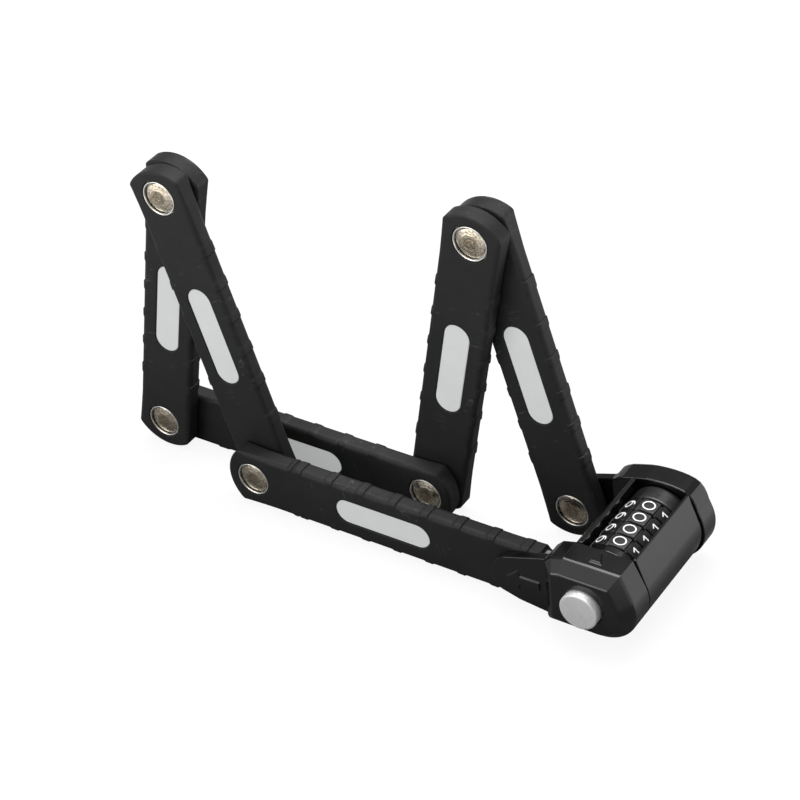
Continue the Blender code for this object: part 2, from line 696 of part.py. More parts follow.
build_chain()
lock_origin = pivot("lock_origin", 0.0, 0.0, 0.0)
build_body(lock_origin)
build_button(lock_origin)
build_wheels(lock_origin)
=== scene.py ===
"""Looks of the folding link lock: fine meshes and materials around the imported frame.

X runs to the right, Y from the front to the back and Z up. The origin for the lock's own
millimetres is on the last rivet's axis, at the front plane of link a. Six riveted links lie in
layers behind each other; link a's steel tongue enters the lock body, and link f turns on the
body's rear ear. A link's own frame has X from its first rivet to its second.
"""
import math

import bmesh
import bpy
import numpy as np
from mathutils import Matrix, Vector, noise
from mathutils.geometry import tessellate_polygon

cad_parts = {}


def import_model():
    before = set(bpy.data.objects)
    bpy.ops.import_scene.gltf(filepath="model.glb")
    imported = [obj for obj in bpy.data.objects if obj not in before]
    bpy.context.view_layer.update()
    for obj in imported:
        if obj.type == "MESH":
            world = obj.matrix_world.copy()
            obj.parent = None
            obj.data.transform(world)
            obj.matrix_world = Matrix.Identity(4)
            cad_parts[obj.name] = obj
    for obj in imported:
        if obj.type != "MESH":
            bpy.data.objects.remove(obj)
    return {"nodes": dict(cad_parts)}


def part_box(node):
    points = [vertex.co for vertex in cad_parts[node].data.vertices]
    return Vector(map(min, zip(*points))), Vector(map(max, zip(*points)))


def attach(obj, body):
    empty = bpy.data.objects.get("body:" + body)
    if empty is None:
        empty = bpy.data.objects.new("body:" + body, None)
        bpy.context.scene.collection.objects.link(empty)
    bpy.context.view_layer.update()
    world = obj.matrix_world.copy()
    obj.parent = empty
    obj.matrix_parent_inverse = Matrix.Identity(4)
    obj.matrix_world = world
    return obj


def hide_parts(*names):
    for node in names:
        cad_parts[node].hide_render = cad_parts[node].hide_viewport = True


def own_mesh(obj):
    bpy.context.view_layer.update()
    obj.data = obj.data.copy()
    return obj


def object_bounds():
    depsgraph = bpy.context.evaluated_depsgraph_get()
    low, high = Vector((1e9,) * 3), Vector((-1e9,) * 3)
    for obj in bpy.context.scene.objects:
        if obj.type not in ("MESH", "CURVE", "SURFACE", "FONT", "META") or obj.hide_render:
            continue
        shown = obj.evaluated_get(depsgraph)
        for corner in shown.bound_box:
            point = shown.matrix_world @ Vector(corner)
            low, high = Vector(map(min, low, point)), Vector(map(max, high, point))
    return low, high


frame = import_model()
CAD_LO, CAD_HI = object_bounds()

MM = 0.001


# ---- places taken from the frame ---------------------------------------------------------
def middle(node):
    lo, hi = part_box(node)
    return (lo + hi) / 2


RIVETS = {i: middle("rivet_%d" % i) for i in range(1, 7)}
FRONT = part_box("link_a_sleeve")[0].y
ORIGIN = Vector((RIVETS[6].x, FRONT, RIVETS[6].z))
LINKS = {"a": (1, 6), "b": (2, 1), "c": (3, 2), "d": (4, 3), "e": (5, 4), "f": (6, 5)}
PITCH = (RIVETS[1] - RIVETS[6]).xz.length / MM
LAYER = (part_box("link_b_sleeve")[0].y - FRONT) / MM
LINK_THICK = (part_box("link_a_sleeve")[1].y - FRONT) / MM

# ---- dimensions shared between pieces, in millimetres ------------------------------------
HALF_WIDTH, END_R, END_SHIFT = 13.0, 18.1, 5.9      # sleeve; its end arcs' centres lie inwards
PLATE_THICK, PLATE_HALF, PLATE_END_R = 5.0, 11.2, 16.3
WALL = (LINK_THICK - PLATE_THICK) / 2.0
GAP = 0.3                                           # between plate and sleeve
SHANK_R, HEAD_R, RECESS_R = 4.0, 6.4, 8.0
BUTTON, BUTTON_R = (34.8, 4.8), 8.25                # axis (x, z)
DIAL = (38.2, 8.3)                                  # axis of the number wheels (x, z)
EAR_FRONT, EAR_REAR = (-4.4, -0.5), (50.4, 54.2)    # y spans


def world(p):
    return (ORIGIN.x + p[0] * MM, ORIGIN.y + p[1] * MM, ORIGIN.z + p[2] * MM)


# ---- 2D outlines -------------------------------------------------------------------------
def ellipse(cx, cz, rx, rz, start, end, steps):
    """Points along an ellipse between two angles in degrees, both ends included."""
    angles = [math.radians(start + (end - start) * i / steps) for i in range(steps + 1)]
    return [(cx + rx * math.cos(a), cz + rz * math.sin(a)) for a in angles]


def arc(cx, cz, radius, start, end, steps):
    return ellipse(cx, cz, radius, radius, start, end, steps)


def circle(cx, cz, radius, steps, turn=0.0):
    return arc(cx, cz, radius, turn, turn + 360.0, steps)[:-1]


def end_arc(half, radius, steps, far=False, inset=0.0):
    """Arc across a link's near or far end, reaching to half on both sides of the middle."""
    angle = math.degrees(math.asin(half / radius))
    if far:
        return arc(PITCH - END_SHIFT, 0, radius - inset, -angle, angle, steps)
    return arc(END_SHIFT, 0, radius - inset, 180 - angle, 180 + angle, steps)


# ---- fields: signed distances, negative inside -------------------------------------------
def edges(starts, ends):
    """Pairs of points with the zero-length ones left out."""
    for start, end in zip(starts, ends):
        edge_x, edge_z = end[0] - start[0], end[1] - start[1]
        if edge_x * edge_x + edge_z * edge_z >= 1e-12:
            yield start, end


def edge_distance_squared(x, z, start, end):
    edge_x, edge_z = end[0] - start[0], end[1] - start[1]
    off_x, off_z = x - start[0], z - start[1]
    along = (off_x * edge_x + off_z * edge_z) / (edge_x * edge_x + edge_z * edge_z)
    along = np.clip(along, 0, 1)
    return (off_x - edge_x * along) ** 2 + (off_z - edge_z * along) ** 2


def polygon(x, z, points):
    x, z = np.broadcast_arrays(np.asarray(x, float), np.asarray(z, float))
    nearest = np.full(x.shape, 1e18)
    outside = np.ones(x.shape, bool)
    for start, end in edges(points, points[-1:] + points[:-1]):
        nearest = np.minimum(nearest, edge_distance_squared(x, z, start, end))
        above, below = z >= start[1], z < end[1]
        beside = (end[0] - start[0]) * (z - start[1]) > (end[1] - start[1]) * (x - start[0])
        outside ^= (above & below & beside) | (~above & ~below & ~beside)
    return np.where(outside, 1.0, -1.0) * np.sqrt(nearest)


def strokes(x, z, paths):
    """Unsigned distance to the nearest of several open paths."""
    x, z = np.broadcast_arrays(np.asarray(x, float), np.asarray(z, float))
    nearest = np.full(x.shape, 1e18)
    for path in paths:
        for start, end in edges(path, path[1:]):
            nearest = np.minimum(nearest, edge_distance_squared(x, z, start, end))
    return np.sqrt(nearest)


def slab(v, lo, hi):
    return np.abs(v - (lo + hi) / 2) - (hi - lo) / 2


def cylinder(x, z, centre, radius):
    return np.sqrt((x - centre[0]) ** 2 + (z - centre[1]) ** 2) - radius


def rod(x, y, z, centre, radius, span):
    """Cylinder along Y, cut to a y span."""
    return np.maximum(cylinder(x, z, centre, radius), slab(y, *span))


def block(x, y, z, spans):
    return np.maximum(np.maximum(slab(x, *spans[0]), slab(y, *spans[1])), slab(z, *spans[2]))


def overlap(a, b, blend):
    """Intersection with a soft edge."""
    near = np.maximum(blend - np.abs(a - b), 0.0) / blend
    return np.maximum(a, b) + near * near * blend * 0.25


def join(a, b, blend):
    return -overlap(-a, -b, blend)


def carve(body, cutter, blend=0.0):
    return overlap(body, -cutter, blend) if blend else np.maximum(body, -cutter)


def rounded(a, b, radius):
    """Intersection with a round of the given radius on the edge."""
    u, v = a + radius, b + radius
    corner = np.sqrt(np.maximum(u, 0) ** 2 + np.maximum(v, 0) ** 2)
    return np.minimum(np.maximum(u, v), 0) + corner - radius


# ---- meshes from fields ------------------------------------------------------------------
def mesh_from(verts, faces, name, normals=None):
    mesh = bpy.data.meshes.new(name)
    mesh.from_pydata([tuple(v) for v in verts], [], [tuple(f) for f in faces])
    mesh.update()
    mesh.shade_smooth()
    if normals is not None:
        mesh.normals_split_custom_set_from_vertices([tuple(n) for n in normals])
    return mesh


CORNERS = [(i, j, k) for i in (0, 1) for j in (0, 1) for k in (0, 1)]


def crossing_means(values, cells):
    """For each cell, the mean of the places where the surface crosses its edges."""
    total = np.zeros((len(cells), 3))
    count = np.zeros(len(cells))
    for start in CORNERS:
        for axis in range(3):
            if start[axis]:
                continue
            end = list(start)
            end[axis] = 1
            value_0 = values[tuple((cells + start).T)]
            value_1 = values[tuple((cells + end).T)]
            crossed = (value_0 < 0) != (value_1 < 0)
            share = np.where(crossed, value_0 / np.where(crossed, value_0 - value_1, 1), 0)
            start_at, end_at = np.array(start, float), np.array(end, float)
            place = start_at + share[:, None] * (end_at - start_at)
            total[crossed] += place[crossed]
            count[crossed] += 1
    return total / count[:, None]


def cell_faces(inside, index):
    """A quad between the four cells round each grid edge that the surface crosses."""
    size = inside.shape
    faces = []
    for axis in range(3):
        u, v = (axis + 1) % 3, (axis + 2) % 3
        before, after = np.delete(inside, -1, axis), np.delete(inside, 0, axis)
        at = np.argwhere(before != after)
        at = at[(at[:, u] >= 1) & (at[:, v] >= 1) & (at[:, u] <= size[u] - 2) & (at[:, v] <= size[v] - 2)]
        leaving = before[tuple(at.T)]
        step_u, step_v = np.eye(3, dtype=int)[u], np.eye(3, dtype=int)[v]
        around = (step_u + step_v, step_v, 0 * step_u, step_u)
        quads = np.stack([index[tuple((at - back).T)] for back in around], 1)
        quads[~leaving] = quads[~leaving][:, ::-1]
        faces.append(quads)
    return np.concatenate(faces)


def field_at(field, points):
    return np.broadcast_to(field(points[:, 0], points[:, 1], points[:, 2]), (len(points),))


def slope(field, points, step):
    result = np.empty_like(points)
    for i in range(3):
        shift = np.zeros(3)
        shift[i] = step
        rise = field_at(field, points + shift) - field_at(field, points - shift)
        result[:, i] = rise / (2 * step)
    return result


def skin(field, low, high, cell, name, place=world):
    """Closed mesh of a field's zero surface: one point per grid cell, moved onto the surface."""
    size = [int(math.ceil((high[i] - low[i]) / cell)) + 1 for i in range(3)]
    axes = [low[i] + cell * np.arange(size[i]) for i in range(3)]
    values = np.array(np.broadcast_to(field(*np.ix_(*axes)), size), float)
    values[values == 0] = 1e-9
    inside = values < 0
    count = sum(inside[i:size[0] - 1 + i, j:size[1] - 1 + j, k:size[2] - 1 + k].astype(np.int8)
                for i, j, k in CORNERS)
    active = (count > 0) & (count < 8)
    cells = np.argwhere(active)
    index = np.full(active.shape, -1, np.int64)
    index[active] = np.arange(len(cells))
    start = np.array(low) + cell * (cells + crossing_means(values, cells))

    points = start.copy()
    for _ in range(4):
        uphill = slope(field, points, cell * 0.12)
        steep = np.maximum((uphill * uphill).sum(1), 0.05)
        move = np.clip(field_at(field, points) / steep, -0.5 * cell, 0.5 * cell)
        points = points - move[:, None] * uphill
        points = start + np.clip(points - start, -0.9 * cell, 0.9 * cell)
    normals = slope(field, points, cell * 0.35)
    normals /= np.maximum(np.linalg.norm(normals, axis=1), 1e-9)[:, None]
    return mesh_from([place(p) for p in points], cell_faces(inside, index), name, normals)


# ---- meshes from rings -------------------------------------------------------------------
class Moulding:
    """Collects the rings, walls and lids of one closed piece; a stage is (outline, y)."""

    def __init__(self):
        self.bm = bmesh.new()

    def ring(self, outline, y):
        depths = y if hasattr(y, "__len__") else [y] * len(outline)
        return [self.bm.verts.new((x * MM, depth * MM, z * MM))
                for (x, z), depth in zip(outline, depths)]

    def sweep(self, stages):
        """Rings of all stages, with walls between them."""
        rings = [self.ring(outline, y) for outline, y in stages]
        for a, b in zip(rings, rings[1:]):
            for i in range(len(a)):
                j = (i + 1) % len(a)
                self.bm.faces.new((a[i], a[j], b[j], b[i]))
        return rings

    def lid(self, rings):
        """Flat face inside the first ring and outside the others."""
        flat = [[Vector((v.co.x / MM, v.co.z / MM, 0.0)) for v in ring] for ring in rings]
        order = [v for ring in rings for v in ring]
        for triangle in tessellate_polygon(flat):
            self.bm.faces.new([order[k] for k in triangle])

    def mesh(self, name, sharp):
        bmesh.ops.recalc_face_normals(self.bm, faces=self.bm.faces)
        mesh = bpy.data.meshes.new(name)
        self.bm.to_mesh(mesh)
        self.bm.free()
        mesh.shade_smooth()
        mesh.set_sharp_from_angle(angle=math.radians(sharp))
        return mesh


def solid(name, stages, holes=(), sharp=50.0):
    """Piece swept along Y with through holes; each hole is a list of stages too."""
    part = Moulding()
    swept = [part.sweep(s) for s in (stages, *holes)]
    part.lid([rings[0] for rings in swept])
    part.lid([rings[-1] for rings in swept])
    return part.mesh(name, sharp)


def lathe(profile, segments, name, sharp=50.0, wobble=None):
    """Solid of revolution about Y: profile is [(y, r)] from axis to axis, or closed on itself.

    wobble(x, z, r) is added to the depth of the rings in front of y = 1.
    """
    part = Moulding()
    rings = []
    for y, r in profile:
        outline = circle(0.0, 0.0, r, segments) if r else [(0.0, 0.0)]
        if r and wobble and y < 1.0:
            y = [y + wobble(px, pz, r) for px, pz in outline]
        rings.append(part.ring(outline, y))
    pairs = list(zip(rings, rings[1:]))
    if profile[0][1] != 0.0:
        pairs.append((rings[-1], rings[0]))
    for a, b in pairs:
        for i in range(segments):
            j = (i + 1) % segments
            if len(a) == 1:
                corners = (a[0], b[i], b[j])
            elif len(b) == 1:
                corners = (a[i], a[j], b[0])
            else:
                corners = (a[i], a[j], b[j], b[i])
            part.bm.faces.new(corners)
    return part.mesh(name, sharp)


# ---- objects -----------------------------------------------------------------------------
def add_object(name, data):
    obj = bpy.data.objects.new(name, data)
    bpy.context.scene.collection.objects.link(obj)
    return obj


def link_matrix(key):
    first, second = (RIVETS[i] for i in LINKS[key])
    angle = math.atan2(second.z - first.z, second.x - first.x)
    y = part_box("link_%s_sleeve" % key)[0].y
    return Matrix.Translation((first.x, y, first.z)) @ Matrix.Rotation(-angle, 4, "Y")


def show(name, mesh, material, body, replaced=(), matrix=None, weighted=False):
    obj = add_object(name, mesh)
    if not mesh.materials:
        mesh.materials.append(material)
    else:
        # the mesh is shared, so this object carries its material itself
        obj.material_slots[0].link = "OBJECT"
        obj.material_slots[0].material = material
    if matrix is not None:
        obj.matrix_world = matrix
    if weighted:
        modifier = obj.modifiers.new("WeightedNormal", "WEIGHTED_NORMAL")
        modifier.keep_sharp = True
        modifier.weight = 90
    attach(obj, body)
    if replaced:
        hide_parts(*replaced)
    return obj


# ---- shader nodes ------------------------------------------------------------------------
class Nodes:
    """Adds nodes to a material or world; each method returns the new node's output."""

    def __init__(self, owner):
        self.owner = owner
        owner.use_nodes = True
        self.tree = owner.node_tree
        self.coord = self.node("ShaderNodeTexCoord")

    def plug(self, socket, value):
        """Give a socket a link or a plain value; colours come as three numbers."""
        if isinstance(value, bpy.types.NodeSocket):
            self.tree.links.new(value, socket)
        elif socket.type == "RGBA":
            socket.default_value = (*value, 1.0)
        else:
            socket.default_value = value

    def node(self, kind, inputs=None, **props):
        node = self.tree.nodes.new(kind)
        for key, value in props.items():
            setattr(node, key, value)
        for key, value in (inputs or {}).items():
            if value is not None:
                self.plug(node.inputs[key], value)
        return node

    def scaled(self, scale, rotation=(0, 0, 0)):
        inputs = {"Scale": scale, "Rotation": rotation, "Vector": self.coord.outputs["Object"]}
        return self.node("ShaderNodeMapping", inputs).outputs["Vector"]

    def split(self, source="Object"):
        """The x, y and z of a texture coordinate."""
        return self.node("ShaderNodeSeparateXYZ", {0: self.coord.outputs[source]}).outputs[:]

    def noise(self, scale, detail=3.0, roughness=0.6, vector=None, distortion=0.0):
        inputs = {"Scale": scale, "Detail": detail, "Roughness": roughness,
                  "Distortion": distortion, "Vector": vector or self.coord.outputs["Object"]}
        return self.node("ShaderNodeTexNoise", inputs).outputs["Fac"]

    def ramp(self, factor, stops):
        """Colour ramp from {position: grey or colour}."""
        node = self.node("ShaderNodeValToRGB", {"Fac": factor})
        elements = node.color_ramp.elements
        while len(elements) < len(stops):
            elements.new(0.5)
        for i, (position, colour) in enumerate(stops.items()):
            elements[i].position = position
            rgb = colour if hasattr(colour, "__len__") else (colour,) * 3
            elements[i].color = (*rgb, 1.0)
        return node.outputs["Color"]

    def spread(self, factor, low, high):
        """A noise's usual range stretched between two greys or colours."""
        return self.ramp(factor, {0.3: low, 0.7: high})

    def calc(self, operation, a, b=None, clamp=False):
        node = self.node("ShaderNodeMath", {0: a, 1: b}, operation=operation, use_clamp=clamp)
        return node.outputs[0]

    def times(self, a, b):
        return self.calc("MULTIPLY", a, b)

    def length(self, a, b):
        return self.calc("SQRT", self.calc("ADD", self.times(a, a), self.times(b, b)))

    def mix(self, amount, under, over):
        # in colour mode the sockets in use are inputs 0, 6 and 7 and output 2
        inputs = {0: amount, 6: under, 7: over}
        return self.node("ShaderNodeMix", inputs, data_type="RGBA").outputs[2]

    def bump(self, height, strength, distance, normal=None):
        inputs = {"Strength": strength, "Distance": distance, "Height": height, "Normal": normal}
        return self.node("ShaderNodeBump", inputs).outputs["Normal"]

    def surface(self, **inputs):
        """Fill in the Principled shader and return the finished material."""
        shader = self.tree.nodes["Principled BSDF"]
        for key, value in inputs.items():
            self.plug(shader.inputs[key.replace("_", " ")], value)
        return self.owner


def new_material(name):
    return Nodes(bpy.data.materials.new(name))


def grey(value):
    return (value,) * 3


def faded(colour, share):
    return tuple(c * share for c in colour)


def scratches(nodes, angle, density, width=0.045, length=7.0):
    """Sparse thin lines: a stretched noise near its middle value, kept in coarse patches."""
    vector = nodes.scaled((density, density, density / length), (0, angle, 0.3))
    streak = nodes.noise(scale=1.0, detail=1.0, roughness=0.4, vector=vector)
    line = nodes.calc("ABSOLUTE", nodes.calc("SUBTRACT", streak, 0.5))
    thin = nodes.calc("LESS_THAN", line, width * 0.08)
    patch = nodes.calc("GREATER_THAN", nodes.noise(scale=38.0, detail=2.0, roughness=0.5), 0.57)
    return nodes.times(thin, patch)


# ---- materials ---------------------------------------------------------------------------
def rubber_material():
    nodes = new_material("moulded_rubber")
    cloud = nodes.noise(scale=45.0)
    dust = nodes.noise(scale=900.0, detail=2.0, roughness=0.7)
    base = nodes.spread(cloud, low=(0.0095, 0.0096, 0.0098), high=(0.0145, 0.0145, 0.0148))
    marks = nodes.calc("ADD", scratches(nodes, angle=0.6, density=170.0),
                       scratches(nodes, angle=-0.9, density=230.0), clamp=True)
    base = nodes.mix(nodes.times(marks, 0.55), under=base, over=grey(0.075))
    base = nodes.mix(nodes.ramp(dust, {0.66: 0.0, 0.8: 0.22}), under=base, over=grey(0.05))
    grain = nodes.noise(scale=2600.0, detail=2.0)
    normal = nodes.bump(grain, strength=0.22, distance=0.00008)
    normal = nodes.bump(cloud, strength=0.10, distance=0.0004, normal=normal)
    return nodes.surface(Base_Color=base, Normal=normal, Specular_IOR_Level=0.28,
                         Roughness=nodes.spread(nodes.noise(scale=70.0), low=0.50, high=0.62))


def inlay_material():
    nodes = new_material("inlay_light_grey")
    speck = nodes.noise(scale=1500.0, detail=2.0)
    cloud = nodes.noise(scale=60.0, roughness=0.5)
    grain = nodes.noise(scale=3000.0, detail=2.0, roughness=0.5)
    base = nodes.spread(cloud, low=(0.330, 0.340, 0.336), high=(0.370, 0.378, 0.374))
    specks = nodes.ramp(speck, {0.62: 0.0, 0.74: 0.35})
    base = nodes.mix(specks, under=base, over=(0.24, 0.245, 0.243))
    # painted glow: the strip gets a faint emission of its own, so it keeps some brightness in shade; the
    # specks glow less
    specks = nodes.ramp(speck, {0.62: 0.0, 0.74: 0.5})
    painted_glow = nodes.mix(specks, under=(0.97, 1.0, 0.99), over=(0.80, 0.82, 0.81))
    return nodes.surface(Base_Color=base, Roughness=nodes.spread(cloud, low=0.42, high=0.52),
                         Normal=nodes.bump(grain, strength=0.12, distance=0.00005),
                         Emission_Color=painted_glow, Emission_Strength=0.33)


def turned_metal(name, light, dark, rough, swirl, stain, core=0.0):
    """Smeared rings about the local Y axis (swirl), stains, and a darker middle (core)."""
    nodes = new_material(name)
    x, _, z = nodes.split()
    radius = nodes.length(x, z)
    warp = nodes.times(nodes.noise(scale=230.0, distortion=0.6), 0.0030)
    warped = nodes.calc("ADD", radius, warp)
    coarse = nodes.calc("SINE", nodes.times(warped, 5200.0))     # rings, in radians per metre
    fine = nodes.calc("SINE", nodes.times(warped, 19000.0))
    blotch = nodes.noise(scale=330.0, distortion=2.2)
    base = nodes.mix(nodes.ramp(blotch, {0.38: 0.0, 0.66: stain}), under=light, over=dark)
    rings = nodes.ramp(coarse, {0.35: 0.0, 1.0: 0.55 * swirl})
    base = nodes.mix(rings, under=base, over=dark)
    # the middle fades out between 0.45 and 0.85 of a 5 mm radius
    centre = nodes.ramp(nodes.times(radius, 200.0), {0.45: 1.0, 0.85: 0.0})
    base = nodes.mix(nodes.times(centre, core), under=base, over=dark)
    normal = nodes.bump(coarse, strength=0.22 * swirl, distance=0.00008)
    normal = nodes.bump(fine, strength=0.10 * swirl, distance=0.00003, normal=normal)
    normal = nodes.bump(blotch, strength=0.20 * swirl, distance=0.0002, normal=normal)
    roughness = nodes.spread(blotch, low=rough * 0.8, high=rough * 1.25)
    return nodes.surface(Base_Color=base, Metallic=1.0, Roughness=roughness, Normal=normal)


def brushed_metal(name, colour, rough):
    """Streaks along the local X axis, under faint clouds."""
    nodes = new_material(name)
    streak = nodes.noise(scale=1.0, vector=nodes.scaled((60.0, 900.0, 900.0)))
    cloud = nodes.noise(scale=80.0)
    base = nodes.mix(nodes.spread(streak, low=0.0, high=0.5), colour, faded(colour, 0.75))
    base = nodes.mix(nodes.ramp(cloud, {0.4: 0.0, 0.7: 0.25}), base, faded(colour, 0.6))
    return nodes.surface(Base_Color=base, Metallic=1.0,
                         Roughness=nodes.spread(streak, low=rough * 0.8, high=rough * 1.2),
                         Normal=nodes.bump(streak, strength=0.15, distance=0.00005))


def satin_button_material():
    nodes = new_material("button_satin_chrome")
    grain = nodes.noise(scale=1900.0, roughness=0.7)
    cloud = nodes.noise(scale=160.0)
    base = nodes.spread(cloud, low=(0.80, 0.80, 0.795), high=(0.88, 0.88, 0.875))
    marks = scratches(nodes, angle=0.4, density=420.0, width=0.05, length=5.0)
    base = nodes.mix(nodes.times(marks, 0.5), under=base, over=grey(0.30))
    return nodes.surface(Base_Color=base, Metallic=0.6,
                         Roughness=nodes.spread(grain, low=0.40, high=0.55),
                         Normal=nodes.bump(grain, strength=0.18, distance=0.00006))


def enamel_material():
    """Black stove enamel: faint orange peel, cloudy gloss and dust."""
    nodes = new_material("body_gloss_black")
    rough = 0.14
    cloud = nodes.noise(scale=60.0, detail=4.0)
    base = nodes.spread(cloud, low=0.0030, high=0.0052)
    dust = nodes.noise(scale=1400.0, detail=2.0, roughness=0.7)
    base = nodes.mix(nodes.ramp(dust, {0.70: 0.0, 0.80: 0.15}), under=base, over=grey(0.06))
    peel = nodes.noise(scale=420.0, detail=2.0, roughness=0.5)
    gloss = nodes.spread(nodes.noise(scale=120.0), low=rough * 0.8, high=rough * 1.25)
    return nodes.surface(Base_Color=base, Roughness=gloss,
                         Normal=nodes.bump(peel, strength=0.07, distance=0.0002),
                         Coat_Weight=0.0, Coat_Roughness=0.12, Specular_IOR_Level=0.5)


def wheel_material():
    nodes = new_material("wheel_black_plastic")
    cloud = nodes.noise(scale=300.0)
    fine = nodes.noise(scale=1.0, detail=2.0, vector=nodes.scaled((500.0, 4200.0, 500.0)))
    base = nodes.spread(cloud, low=(0.008, 0.008, 0.009), high=(0.013, 0.013, 0.014))
    return nodes.surface(Base_Color=base, Roughness=nodes.spread(cloud, low=0.26, high=0.38),
                         Normal=nodes.bump(fine, strength=0.18, distance=0.00006))


def digit_material():
    nodes = new_material("digit_white_paint")
    cloud = nodes.noise(scale=900.0)
    base = nodes.spread(cloud, low=(0.82, 0.83, 0.84), high=(0.93, 0.93, 0.93))
    return nodes.surface(Base_Color=base, Roughness=0.45,
                         Normal=nodes.bump(cloud, strength=0.10, distance=0.00005))


RUBBER = rubber_material()
INLAY = inlay_material()
NICKEL = turned_metal("rivet_nickel", light=(0.90, 0.82, 0.68), dark=(0.20, 0.145, 0.078),
                      rough=0.20, swirl=1.0, stain=0.80, core=0.55)
RING = turned_metal("ring_bright", light=(0.95, 0.93, 0.89), dark=(0.70, 0.65, 0.56),
                    rough=0.30, swirl=0.0, stain=0.12)
STEEL = brushed_metal("plate_steel", colour=(0.56, 0.56, 0.545), rough=0.26)
SPRING = brushed_metal("spring_steel", colour=(0.55, 0.56, 0.58), rough=0.28)
BRASS = brushed_metal("code_brass", colour=(0.78, 0.58, 0.27), rough=0.30)
PAINT = enamel_material()
PLASTIC = wheel_material()
WHITE = digit_material()
SATIN = satin_button_material()


# ---- link sleeves ------------------------------------------------------------------------
WINDOW_LEN, WINDOW_HALF = 46.0, 6.0
SLEEVE_FAR = PITCH + 12.5               # far end of link a's sleeve
FAR_CORNER_R = 2.6                      # its rounded corners
# where the straight sides meet the near end's arc
CORNER_X = END_SHIFT - END_R * math.cos(math.asin(HALF_WIDTH / END_R))

# Raised grip bands across the narrow sides, as (start, end) from the first rivet. A band rises
# gently from its start and drops steeply at its end into a fine groove.
BAND_PITCH = 15.5
BANDS_MAIN = [(21.9, 27.0)] \
    + [(22.8 + BAND_PITCH * k, 27.2 + BAND_PITCH * k) for k in range(1, 5)] + [(102.2, 108.3)]
BANDS_TONGUE = [(18.6, 21.2)] \
    + [(21.6 + BAND_PITCH * k, 26.0 + BAND_PITCH * k) for k in range(8)]
BAND_RISE, BAND_DROP, GROOVE_WIDTH = 1.4, 0.12, 0.5     # lengths; the drop is half its slope
BAND_HEIGHT, GROOVE_DEPTH = 0.40, 0.22
# stations along a side: general spacing, and offsets from a band's start and end
SIDE_STEP = 0.7
START_OFFSETS = (0.0, 0.35, 0.7, 1.05, 1.4)
END_OFFSETS = (-0.5, -0.12, 0.0, 0.12, 0.22, 0.32, 0.42, 0.52)
CORNER_OFFSETS = (0.2, 0.42, 0.66, 0.95, 1.3)           # from the corner with the end arc

# The softened edge runs from 0 at the face to 1 at the side. Its inset and drop grow along the
# straight sides and shrink at the bands.
RIM_TURNS = [0.0, 0.12, 0.3, 0.5, 0.7, 0.88, 1.0]
RIM_INSET, RIM_INSET_SIDE, RIM_INSET_BAND = 1.05, 1.25, 1.0
RIM_DROP, RIM_DROP_SIDE, RIM_DROP_BAND = 0.62, 1.5, 0.6
SIDE_RING_DEPTH = 2.9                   # extra rings on the side wall, from either face


def clamped(value):
    return max(0.0, min(1.0, value))


def ease(t):
    return t * t * (3 - 2 * t)


def band_at(x, bands):
    """Height of the bands at x and depth of the grooves, both 0 to 1."""
    height, groove = 0.0, 0.0
    for start, end in bands:
        if start < x < end + BAND_DROP:
            rise = ease(min(1.0, (x - start) / BAND_RISE))
            rise *= 0.78 + 0.22 * (x - start) / (end - start)
            height = max(height, rise * clamped((end + BAND_DROP - x) / (2 * BAND_DROP)))
        if end < x < end + GROOVE_WIDTH:
            groove = max(groove, math.sin(math.pi * (x - end) / GROOVE_WIDTH))
    return height, groove


def side_stations(length, bands):
    """Places along a straight side, closer together at the bands."""
    stations = set(round(SIDE_STEP * k, 3) for k in range(int(length / SIDE_STEP) + 1))
    for start, end in bands:
        stations.update(round(start + offset, 3) for offset in START_OFFSETS)
        stations.update(round(end + offset, 3) for offset in END_OFFSETS)
    return sorted(x for x in stations if 0.0 < x < length)


def sleeve_outline(tongue):
    """Outline round the sleeve: near end arc, lower side, far end, upper side."""
    far = SLEEVE_FAR if tongue else PITCH
    if tongue:
        stop, margin = far - FAR_CORNER_R, 0.6
        far_end = arc(stop, -HALF_WIDTH + FAR_CORNER_R, FAR_CORNER_R, -90, 0, 8) \
            + [(far, z) for z in np.linspace(-9.4, 9.4, 21)] \
            + arc(stop, HALF_WIDTH - FAR_CORNER_R, FAR_CORNER_R, 0, 90, 8)
    else:
        stop, margin = far - CORNER_X, 0.1
        far_end = end_arc(HALF_WIDTH, END_R, 44, far=True)
    near = [CORNER_X + offset for offset in CORNER_OFFSETS]
    before_rivet = [x for x in [CORNER_X + 1.8 + 0.6 * k for k in range(12)] if x < 0.0]
    bands = BANDS_TONGUE if tongue else BANDS_MAIN
    stations = near + before_rivet + side_stations(far + 8.0, bands)
    if not tongue:
        stations += [PITCH - x for x in near]
    stations = [x for x in sorted(set(stations)) if CORNER_X + 0.1 < x < stop - margin]
    lower = [(x, -HALF_WIDTH) for x in stations]
    upper = [(x, HALF_WIDTH) for x in stations[::-1]]

    outline = []
    for point in end_arc(HALF_WIDTH, END_R, 44) + lower + far_end + upper:
        if not outline or math.dist(point, outline[-1]) > 0.02:
            outline.append(point)
    if math.dist(outline[0], outline[-1]) < 0.02:
        outline.pop()
    return np.array(outline)


def soften_corners(points, corner_xs):
    """Take the point off the corners between the end arcs and the straight sides."""
    soft = points.copy()
    for _ in range(7):
        average = (np.roll(soft, 1, 0) + np.roll(soft, -1, 0)) / 2
        share = np.zeros(len(points))
        for x in corner_xs:
            for z in (-HALF_WIDTH, HALF_WIDTH):
                reach = np.hypot(points[:, 0] - x, points[:, 1] - z)
                share = np.maximum(share, np.clip(1.1 - reach, 0, 1))
        soft += 0.6 * share[:, None] * (average - soft)
    return soft


